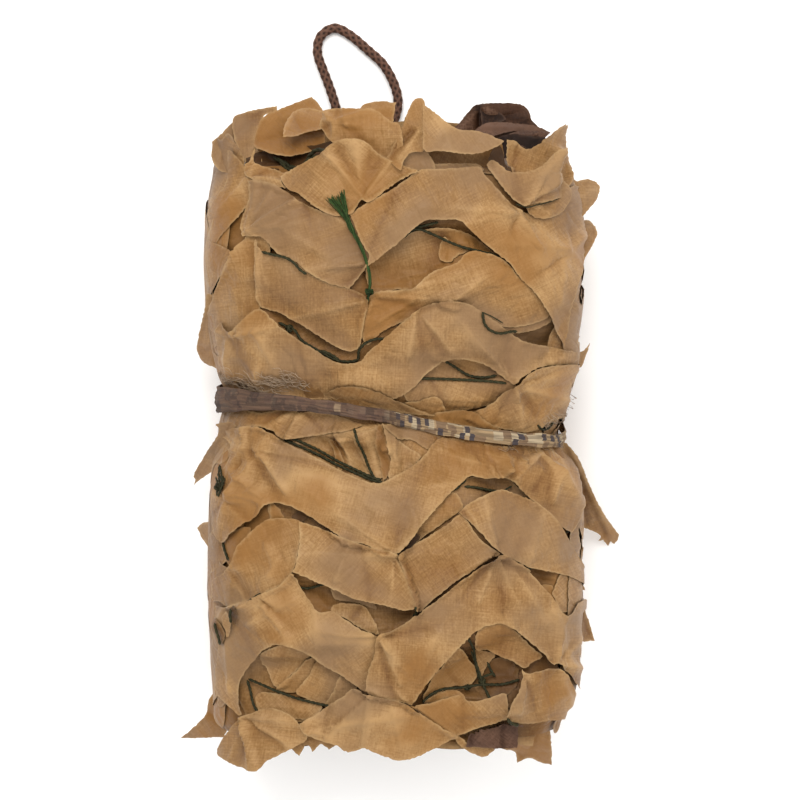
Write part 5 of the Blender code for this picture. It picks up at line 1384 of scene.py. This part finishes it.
def tube(mesh, line, radius, sides=5, swell=None, tone=0.5):
    """A tube along a line of points in metres; swell gives its radius and tone by angle and length."""
    pairs = sides_of(line)
    points, tones, run = [], [], 0.0
    for i, (centre, (one, other)) in enumerate(zip(line, pairs)):
        centre = Vector(centre)
        run += 0.0 if i == 0 else (centre - Vector(line[i - 1])).length
        thin = TUBE_END if i in (0, len(line) - 1) else 1.0
        for k in range(sides):
            angle = k * math.tau / sides
            across, shade = swell(angle, run) if swell else (1.0, tone)
            out = one * math.cos(angle) + other * math.sin(angle)
            points.append(centre + out * (radius * across * thin))
            tones.append(shade)
    faces = quads(len(line), sides, around=True)
    faces += [tuple(range(sides))[::-1], tuple((len(line) - 1) * sides + k for k in range(sides))]
    mesh.add(points, faces, tone=tones)


def twisted(mesh, line, radius, tone=0.5):
    """A twine of two strands laid round each other along a line of points in metres."""
    pairs = sides_of(line)
    pitch = STRAND_PITCH * radius
    run = np.concatenate([[0], np.cumsum([(Vector(b) - Vector(a)).length for a, b in zip(line, line[1:])])])
    for strand in (0, math.pi):
        centres = []
        for centre, (one, other), length in zip(line, pairs, run):
            angle = strand + math.tau * length / pitch
            aside = one * math.cos(angle) + other * math.sin(angle)
            centres.append(Vector(centre) + aside * radius * STRAND_OFF)
        tube(mesh, centres, radius * STRAND_RADIUS, tone=tone + (STRAND_SHADE if strand else -STRAND_SHADE))


def lay_twine(mesh, plan, twine, lift, scale=1.0):
    """Lay a twine along a route on a plan, between two heights but over what is there."""
    radius = TWINE_RADIUS * scale
    route = curve_through(twine, TWINE_SPACING / plan.step_mm)
    share = np.linspace(0, 1, len(route))
    lifts = np.maximum(lift[0] + (lift[1] - lift[0]) * share, plan.under(route) + radius * 0.8)
    soft = np.convolve(np.pad(lifts, 3, mode="edge"), np.ones(7) / 7, mode="valid")
    line = [plan.place(c, r, h) for (c, r), h in zip(route, soft)]
    twisted(mesh, line, radius * MM, RANDOM.uniform(0.2, 0.5))


def tangle(mesh, centre, reach_mm, radius_mm, turns, tones):
    """Turns of twine about a centre, each through random points at one distance from it."""
    for _ in range(turns):
        points = RANDOM.normal(size=(KNOT_POINTS, 3))
        points = points / np.linalg.norm(points, axis=1)[:, None] * reach_mm * MM
        route = curve_through([tuple(centre + Vector(p)) for p in points], KNOT_SPACING)
        twisted(mesh, route, radius_mm * MM, RANDOM.uniform(*tones) if tones else 0.0)


def lay_knot(mesh, plan, knot, size, lift):
    """A small tangle of twine, size millimetres across."""
    column, row = knot
    height = max(lift, float(plan.under(np.array([[column, row]]))[0]) + size * 0.25)
    tangle(mesh, plan.place(column, row, height), size * 0.42, TWINE_RADIUS * 0.8, 4, (0.1, 0.6))


def lay_all(cloth, twines, plan, rows):
    """Lay a table's pieces, twines and knots in its order."""
    for row in rows.values():
        if "twine" in row:
            lay_twine(twines, plan, **row)
        elif "knot" in row:
            lay_knot(twines, plan, **row)
        else:
            lay(cloth, plan, **row)


# ---------------------------------------------------------------- the sides and the underside
# Shapes of cut cloth, in millimetres about their middles
SHAPES = {
    "chevron": [(-46, 20), (-24, 2), (0, -12), (24, 2), (46, 20), (42, 42), (22, 26), (0, 15), (-22, 26),
                (-42, 42)],
    "lens": [(-26, 2), (-12, -10), (6, -13), (22, -4), (28, 6), (14, 15), (-4, 16), (-20, 10)],
    "backing": [(-30, -20), (-8, -24), (12, -19), (29, -23), (31, 18), (9, 24), (-11, 19), (-29, 22)],
}
SHAPE_JITTER = 3.5
# On the plan round the roll, columns are millimetres of girth, from the left side, under the roll, to the
# right, and rows are millimetres along it, from the foot to the end with the cord.
WRAP_FROM, WRAP_TO, WRAP_PITCH = 142, 428, 80
WRAP_FIRST, WRAP_LAST, WRAP_DROP = 58, 310, 33
UNDER, TWINE_REACH, TWINE_SHARE = 280, 110, 0.75  # the net's twine shows this far from the underside's middle
MOUTH_ROW, MOUTH_LEFT, MOUTH_RIGHT = 262, 186, 380  # past this row nothing is wrapped beyond these columns
FOOT_ROW = 80  # before this row nothing is wrapped on the right side
SIDE_COLUMNS = (146, 414)  # a little below the middle of the roll's left and right
SIDE_FIRST, SIDE_LAST, SIDE_STEP = 70, 300, 33


def jittered(shape, column, row, turn, size):
    """A shape at a place on a plan, turned and sized, with each of its points moved a little."""
    c, s = math.cos(turn), math.sin(turn)
    moved = []
    for x, y in SHAPES[shape]:
        x = x * size + RANDOM.uniform(-SHAPE_JITTER, SHAPE_JITTER)
        y = y * size + RANDOM.uniform(-SHAPE_JITTER, SHAPE_JITTER)
        moved.append((column + x * c - y * s, row + x * s + y * c))
    return moved


def wrap_spots():
    """Where the courses round the roll have their pieces."""
    spots = [
        (column + (WRAP_PITCH / 2 if k % 2 else 0) + RANDOM.uniform(-6, 6), row + RANDOM.uniform(-4, 4))
        for k, row in enumerate(range(WRAP_FIRST, WRAP_LAST, WRAP_DROP))
        for column in range(WRAP_FROM, WRAP_TO, WRAP_PITCH)
    ]
    spots = [(column, row) for column, row in spots if row < MOUTH_ROW or MOUTH_LEFT < column < MOUTH_RIGHT]
    return [(column, row) for column, row in spots if row > FOOT_ROW or column < MOUTH_RIGHT]


def lay_sides(cloth, twines, seen):
    """Courses of incised cloth round the roll: chevron bands, the tongues cut from them, and the net's twine.
    How high they come is kept in the seen plan, so that what is laid on it lies over them."""
    plan = make_wrap_plan()
    spots = wrap_spots()
    # Lower pieces get darker tones than those laid over them: painted shade.
    for column in SIDE_COLUMNS:
        for row in range(SIDE_FIRST, SIDE_LAST, SIDE_STEP):
            piece = jittered("backing", column, row, RANDOM.uniform(-0.15, 0.15), 1.0)
            lay(cloth, plan, piece, base=-0.4, grain=2.4, tone=RANDOM.uniform(-0.3, 0.0),
                hue=RANDOM.uniform(-0.2, 0.7))
    for column, row in spots:
        piece = jittered("lens", column, row + 26, RANDOM.uniform(-0.5, 0.5), RANDOM.uniform(0.9, 1.2))
        lay(cloth, plan, piece, base=RANDOM.uniform(-2.5, -0.5), hue=RANDOM.uniform(-0.3, 0.6), grain=2.0,
            tone=RANDOM.uniform(-0.4, 0.1), node=piece[0])
        if RANDOM.random() < TWINE_SHARE and abs(column - UNDER) < TWINE_REACH:
            start, end = (column - 24, row + 30), (column + 26, row + 24)
            middle = (column + RANDOM.uniform(-6, 6), row + 34)
            lay_twine(twines, plan, [start, middle, end], (0.4, 0.4))
    for column, row in spots:
        piece = jittered("chevron", column, row, RANDOM.uniform(-0.22, 0.22), RANDOM.uniform(0.92, 1.1))
        lay(cloth, plan, piece, base=RANDOM.uniform(0.2, 1.2), rise=1.0, root=(column, row - 12),
            tip=(column, row + 30), node=(column, row - 8), count=9, gather=1.5, grain=2.0,
            tone=RANDOM.uniform(-0.1, 0.2), hue=RANDOM.uniform(-0.3, 0.3))
    for column, row in spots[::2]:
        piece = jittered("lens", column + 38, row + 12, RANDOM.uniform(-0.7, 0.7), RANDOM.uniform(0.7, 1.0))
        lay(cloth, plan, piece, base=1.6, rise=1.6, root=piece[4], tip=piece[0], node=piece[4], count=9,
            gather=1.5, grain=2.0, tone=RANDOM.uniform(0.0, 0.25))
    share_height(cloth.points, seen)


# ---------------------------------------------------------------- the layers inside
INNER_ROWS, INNER_COLUMNS = range(6, len(BODY_Y) - 6, 2), range(0, 360, 2)
INNER_UNEVEN, INNER_SINK, INNER_SEED = 0.5, 0.6, 3.0  # millimetres, but for the seed
GIRTH_STEP = 1.5  # about the millimetres of girth in a degree


def inner_ring(r):
    """One row of points round the wound cloth under the outer layers."""
    ring = []
    for c in INNER_COLUMNS:
        uneven = INNER_UNEVEN * MM * billow(c * GIRTH_STEP, BODY_Y[r] / MM, INNER_SEED)
        ring.append(on_axis(ANGLES[c], BODY_Y[r], RAW[r, c] + uneven - INNER_SINK * MM))
    return ring


def make_inner(material):
    """The wound cloth under the outer layers, open at both ends."""
    mesh = Mesh("garnish_inner")
    points = [point for r in INNER_ROWS for point in inner_ring(r)]
    flat = [(c * GIRTH_STEP * MM, BODY_Y[r]) for r in INNER_ROWS for c in INNER_COLUMNS]
    faces = [f[::-1] for f in quads(len(INNER_ROWS), len(INNER_COLUMNS), around=True)]
    # Its low tone, amber hue and depth are painted shade under the outer layers.
    mesh.add(points, faces, flat, tone=-0.4, hue=0.5, depth=0.25)
    return mesh.finish(material, "garnish", "net_roll")


END_TURNS = 3.6
END_OUTER, END_INNER = 0.965, 0.165  # of the roll's radius, where the spiral starts and ends
END_DEPTH, END_OUT = 16, 3.0  # how far the spiral's cloth reaches into and out of the roll, in millimetres
END_UNEVEN, END_TAPER = 5.5, 5  # how uneven its edge is and how much deeper it ends, in millimetres
END_POINTS = (620, 7)  # along the spiral and across its cloth
END_LEAST = 0.004
# Each end's place, the way it faces, the angle at which its spiral starts, how far it has sunk in below and
# above, in millimetres, and how far below the middle, as a sine, the sinking starts
ENDS = {
    "cord_end": dict(y_end=BODY_TO, way=1, start=2.2, low_sink=1, high_sink=34, down=0.45),
    "foot_end": dict(y_end=BODY_FROM, way=-1, start=0.4, low_sink=5, high_sink=13, down=0.0),
}


def add_spiral(mesh, y_end, way, start, low_sink, high_sink, down):
    """The wound layers' edges at one end, as a wavy spiral of cloth."""
    around, across = END_POINTS
    points, flat, edges, depths = [], [], [], []
    for i in range(around):
        t = i / (around - 1)
        angle = start + t * END_TURNS * math.tau
        share = END_OUTER - (END_OUTER - END_INNER) * t
        sink = low_sink + (high_sink - low_sink) * max(0.0, (math.sin(angle) + down) / (1 + down)) ** 0.5
        uneven = END_UNEVEN * noise.noise(Vector((angle * 1.7, way * 3.1, 1)))
        lip = END_OUT + uneven - END_TAPER * t - sink
        for k in range(across):
            s = k / (across - 1)
            y = y_end + way * (lip - (END_DEPTH + END_OUT) * (1 - s)) * MM
            wave = noise.noise(Vector((angle * 3.2, s * 1.5, way * 7))) * (1.2 + 3.2 * s)
            crease = abs(noise.noise(Vector((angle * 9.0, s, way * 11)))) * 2.6 * s
            radius = wrapped(OUTER, angle, y_end) * share + (wave - crease) * MM
            points.append(on_axis(angle, y, max(radius, END_LEAST)))
            flat.append((t * 0.9, y))
            # Paler towards the lip, as along a cut, and darker further in, as painted shade.
            edges.append(math.exp(-(1 - s) * 6) * 0.8)
            depths.append(0.75 * (1 - s) ** 1.5)
    mesh.add(points, quads(around, across), flat, tone=-0.05, hue=0.2, edge=edges, depth=depths)


def make_ends(material):
    """The cloth deep inside either end, dark with painted shade, and, before it, the spiral of the wound
    layers' edges.
    """
    mesh = Mesh("garnish_ends")
    for r, way in ((INNER_ROWS[0], 1), (INNER_ROWS[-1], -1)):
        rim = inner_ring(r)
        n = len(rim)
        fan = [(k, (k + 1) % n, n)[::way] for k in range(n)]
        # The caps' low tone and depth are painted shade.
        mesh.add(rim + [sum(rim, Vector()) / n], fan, tone=-0.8, hue=0.4, depth=0.5)
    for end in ENDS.values():
        add_spiral(mesh, **end)
    return mesh.finish(material, "garnish")


# ---------------------------------------------------------------- the strap
STRAP_WIDE, STRAP_NARROW = 13.5, 6.6  # millimetres, at the left side and over the rest
STRAP_STEPS = 15  # points across it
WIDE_AT, WIDE_HALF = 178, 52  # degrees round the roll
BROWN_FROM, BROWN_FADE_IN, BROWN_TO, BROWN_FADE_OUT = 84, 12, 250, 20  # degrees where its brown back shows
BROWN_SHARE = 0.92
STRAP_TURN = 0.078  # metres of strap in a radian
STRAP_INSIDE = 0.7  # how far inside the solid strap its cloth starts, in millimetres


def make_strap(material):
    """A thin gathered strap all round the waist, on the solid strap's radius."""
    mesh = Mesh("strap_cloth")
    points, flat, depths = [], [], []
    for c in range(len(ANGLES)):
        wide = max(0.0, 1 - abs(c - WIDE_AT) / WIDE_HALF)
        wide = wide * wide * (3 - 2 * wide)
        half = (STRAP_NARROW + (STRAP_WIDE - STRAP_NARROW) * wide) / 2
        fade_in, fade_out = (c - BROWN_FROM) / BROWN_FADE_IN, (BROWN_TO - c) / BROWN_FADE_OUT
        brown = BROWN_SHARE * min(1, max(0, fade_in)) * min(1, max(0, fade_out))
        for k in range(STRAP_STEPS):
            s = 2 * k / (STRAP_STEPS - 1) - 1
            ripple = noise.noise(Vector((c / 9, s * 2.6, 5))) * (0.7 + 0.6 * wide)
            edge_wave = noise.noise(Vector((c / 7, s, 9))) * 0.7
            crown = 0.5 * (1 - s * s)
            drift = 2.2 * noise.noise(Vector((c / 26, 0, 2)))
            folds = (0.35 + 0.4 * wide) * abs(math.sin((s * 1.6 + drift) * math.pi))
            radius = STRAP_RADII[c] + (ripple + crown + folds - STRAP_INSIDE - 0.5 * abs(s)) * MM
            y = STRAP_LINE[c] + (half * s + edge_wave) * MM
            points.append(on_axis(ANGLES[c], y, radius))
            flat.append((math.radians(c) * STRAP_TURN, (half * s) * MM))
            depths.append(brown)
    faces = [(a, d, c, b) for a, b, c, d in quads(len(ANGLES), STRAP_STEPS, over=True)]
    mesh.add(points, faces, flat, depth=depths)
    return mesh.finish(material, "strap_cloth", "strap")


# Loose threads, each group by where it is: the place and the spread on the view grid, how many, and their
# longest length and their lift in millimetres
FRAYS = {
    "over_left": dict(at=(264, 384), spread=(38, 6), count=110, length=8, lift=1.1),
    "left_end": dict(at=(232, 380), spread=(10, 6), count=40, length=7, lift=1.1),
    "at_leaf": dict(at=(284, 376), spread=(14, 5), count=30, length=7, lift=1.4),
    "right_end": dict(at=(560, 422), spread=(12, 9), count=60, length=6, lift=1.2),
    "over_right": dict(at=(572, 406), spread=(4, 8), count=20, length=6, lift=1.2),
    "under_right": dict(at=(532, 444), spread=(26, 4), count=40, length=6, lift=1.2),
}
FRAY_SPACING = 1.6


def add_frays(mesh, plan, at, spread, count, length, lift):
    """One group of threads, each a short curve that starts on the cloth and bends off it."""
    (column, row), (across, down) = at, spread
    for _ in range(count):
        c, r = column + RANDOM.uniform(-across, across), row + RANDOM.uniform(-down, down)
        turn = RANDOM.normal(0.3, 0.32) + (math.pi if RANDOM.random() < 0.5 else 0)
        reach = RANDOM.uniform(0.5, 1) * length / VIEW_STEP_MM
        bend = RANDOM.normal(0, 0.25) * reach
        cosine, sine = math.cos(turn), math.sin(turn)
        middle = (c + cosine * reach / 2 - sine * bend, r + sine * reach / 2 + cosine * bend, lift)
        end = (c + cosine * reach, r + sine * reach, lift * RANDOM.uniform(0, 1))
        route = curve_through([(c, r, 0), middle, end], FRAY_SPACING)
        line = [on_roll(x, y, low + h) for (x, y, h), low in zip(route, plan.under(route[:, :2]))]
        tube(mesh, line, THREAD_RADIUS * MM, sides=3, tone=RANDOM.uniform(0, 1))


def make_frays(material, plan):
    """Threads torn from the strap's edges, on the cloth beside it."""
    mesh = Mesh("strap_frays")
    for group in FRAYS.values():
        add_frays(mesh, plan, **group)
    return mesh.finish(material, "strap_cloth")


# ---------------------------------------------------------------- the twine tuft
# The tuft's routes on the view grid, from its frayed head down its stem to its tail
TUFT_FAN = ((332, 200), (348, 192))  # its head spreads between these
TUFT_STEM = [(351, 223), (357, 236), (363, 248), (368, 260), (371, 270), (372, 282), (371, 290)]
TUFT_SPREADS = (2.6, 2.0, 1.7, 1.5, 1.4, 1.3, 1.2)  # its half width at each place of the stem
TUFT_TAIL = [(371, 290), (369, 297), (366, 306)]
TUFT_LIFT = 6.0  # off the roll, in millimetres
TUFT_FIBRES, FIBRE_RADIUS, FIBRE_SWIRL, FIBRE_SPACING = 60, 0.24, 1.3, 2.2
TAIL_SPACING = 1.6
TUFT_KNOT = dict(reach_mm=1.9, radius_mm=0.6, turns=3, tones=None)


def make_tuft(material):
    """A frayed end of net twine that lies over the front, with its knot."""
    mesh = Mesh("twine_end")
    for _ in range(TUFT_FIBRES):
        share = RANDOM.uniform(0, 1)
        head = [a + (b - a) * share + RANDOM.uniform(-3, 3) for a, b in zip(*TUFT_FAN)]
        swirl = RANDOM.uniform(0, math.tau)
        thick = RANDOM.uniform(0.2, 1.0)
        route = [(*head, TUFT_LIFT + RANDOM.uniform(-0.6, 1.4))]
        for k, (column, row) in enumerate(TUFT_STEM):
            spread = TUFT_SPREADS[k] * thick
            turn = swirl + k * FIBRE_SWIRL
            route.append((column + spread * math.cos(turn), row, TUFT_LIFT + spread * 0.5 * math.sin(turn)))
        line = [on_roll(c, r, h) for c, r, h in curve_through(route, FIBRE_SPACING)]
        tube(mesh, line, FIBRE_RADIUS * MM, sides=3, tone=RANDOM.uniform(0.1, 1.0))
    tail = curve_through([(c, r, TUFT_LIFT - 1 - k) for k, (c, r) in enumerate(TUFT_TAIL)], TAIL_SPACING)
    twisted(mesh, [on_roll(c, r, h) for c, r, h in tail], TWINE_RADIUS * MM, 0.1)
    tangle(mesh, on_roll(*TUFT_STEM[-1], TUFT_LIFT - 0.8), **TUFT_KNOT)
    return mesh.finish(material, "net_twine", "twine_tuft")


# ---------------------------------------------------------------- the braided cord loop
CORD_DIAMETER = 0.005
CORD_SPACING, CORD_SIDES, PATH_STEP = 0.0004, 16, 8
# Its middle in metres, from where it comes out of the roll round to where it goes in again
CORD_ROUTE = [
    (-0.027, 0.148, 0.004), (-0.030, 0.157, 0.0026), (-0.032, 0.165, 0.0026), (-0.035, 0.174, 0.0026),
    (-0.038, 0.182, 0.0026), (-0.0405, 0.190, 0.0026), (-0.039, 0.198, 0.0026), (-0.032, 0.2025, 0.0026),
    (-0.024, 0.199, 0.0026), (-0.015, 0.1915, 0.0026), (-0.007, 0.184, 0.0026), (-0.0015, 0.174, 0.0026),
    (0.0005, 0.165, 0.0026), (-0.001, 0.157, 0.0026), (-0.005, 0.148, 0.004),
]
BRAID_TURNS, BRAID_PITCH = 4, 0.0085


def braid(angle, run):
    """How far out the braid's surface lies and how light it is, darker between strands as painted shade, at
    an angle and a length along the cord.
    """
    over = math.cos(BRAID_TURNS * angle + math.tau * run / BRAID_PITCH * 2)
    under = math.cos(BRAID_TURNS * angle - math.tau * run / BRAID_PITCH * 2)
    bulge = max(over, under)
    return 0.90 + 0.10 * bulge, 0.25 + 0.55 * bulge


def make_cord(material):
    """The braided loop, as a cord."""
    mesh = Mesh("braided_loop")
    line = curve_through(CORD_ROUTE, CORD_SPACING)
    tube(mesh, line, CORD_DIAMETER / 2, sides=CORD_SIDES, swell=braid)
    loop = mesh.finish(material, "braided_cord", "cord_loop")


# ---------------------------------------------------------------- everything together
# A bunch of cut twine at the left side: routes on the view grid, and the knot that holds it
BUNCH_ROUTES = [
    [(222, 466), (223, 476), (224, 488)],
    [(224, 465), (226, 474), (228, 486)],
    [(219, 477), (222, 484), (225, 496)],
    [(232, 478), (230, 486), (227, 497)],
    [(229, 476), (228, 484), (229, 494)],
    [(221, 474), (226, 480), (231, 484)],
]
BUNCH_LIFT, BUNCH_SCALE = (2.0, 1.0), 0.75
BUNCH_KNOT = dict(knot=(226, 487), size=5.0, lift=0.5)


def main():
    make_camera()
    make_cord(twine_material("braided_cord"))
    cloth = cloth_material("garnish_cloth", sheen=0.05, specular=0.16, **GARNISH_COLOURS)
    brown = cloth_material("brown_cloth", sheen=0.0, specular=0.1, **BROWN_COLOURS)
    green, tuft_green, thread = (twine_material(name) for name in ("net_twine", "tuft_twine", "strap_thread"))

    twines = Mesh("net_twines")
    sides = Mesh("garnish_sides")
    plan = make_view_plan()
    lay_sides(sides, twines, plan)

    front = Mesh("garnish_front")
    for rows in (FOOT, TOP_END, UPPER_HALF, LOWER_HALF):
        lay_all(front, twines, plan, rows)
    for route in BUNCH_ROUTES:
        lay_twine(twines, plan, route, BUNCH_LIFT, BUNCH_SCALE)
    lay_knot(twines, plan, **BUNCH_KNOT)
    twines_piece = twines.finish(green, "net_twine")
    tuft = make_tuft(tuft_green)
    front.finish(cloth, "garnish")
    sides.finish(cloth, "garnish")
    make_inner(cloth)
    make_ends(cloth)

    for name, rows in FREE.items():
        flap = Mesh(name + "_cloth")
        for row in rows:
            lay(flap, plan, **row)
        flap.finish(cloth, "garnish", name)
    for name, rows in (("brown_cloth_top", BROWN_TOP), ("brown_cloth_end", BROWN_END)):
        piece = Mesh(name + "_sheet")
        lay_all(piece, None, plan, rows)
        piece.finish(brown, "brown_garnish", name)

    strap = make_strap(strap_material())
    make_frays(thread, plan)
    make_studio()


main()
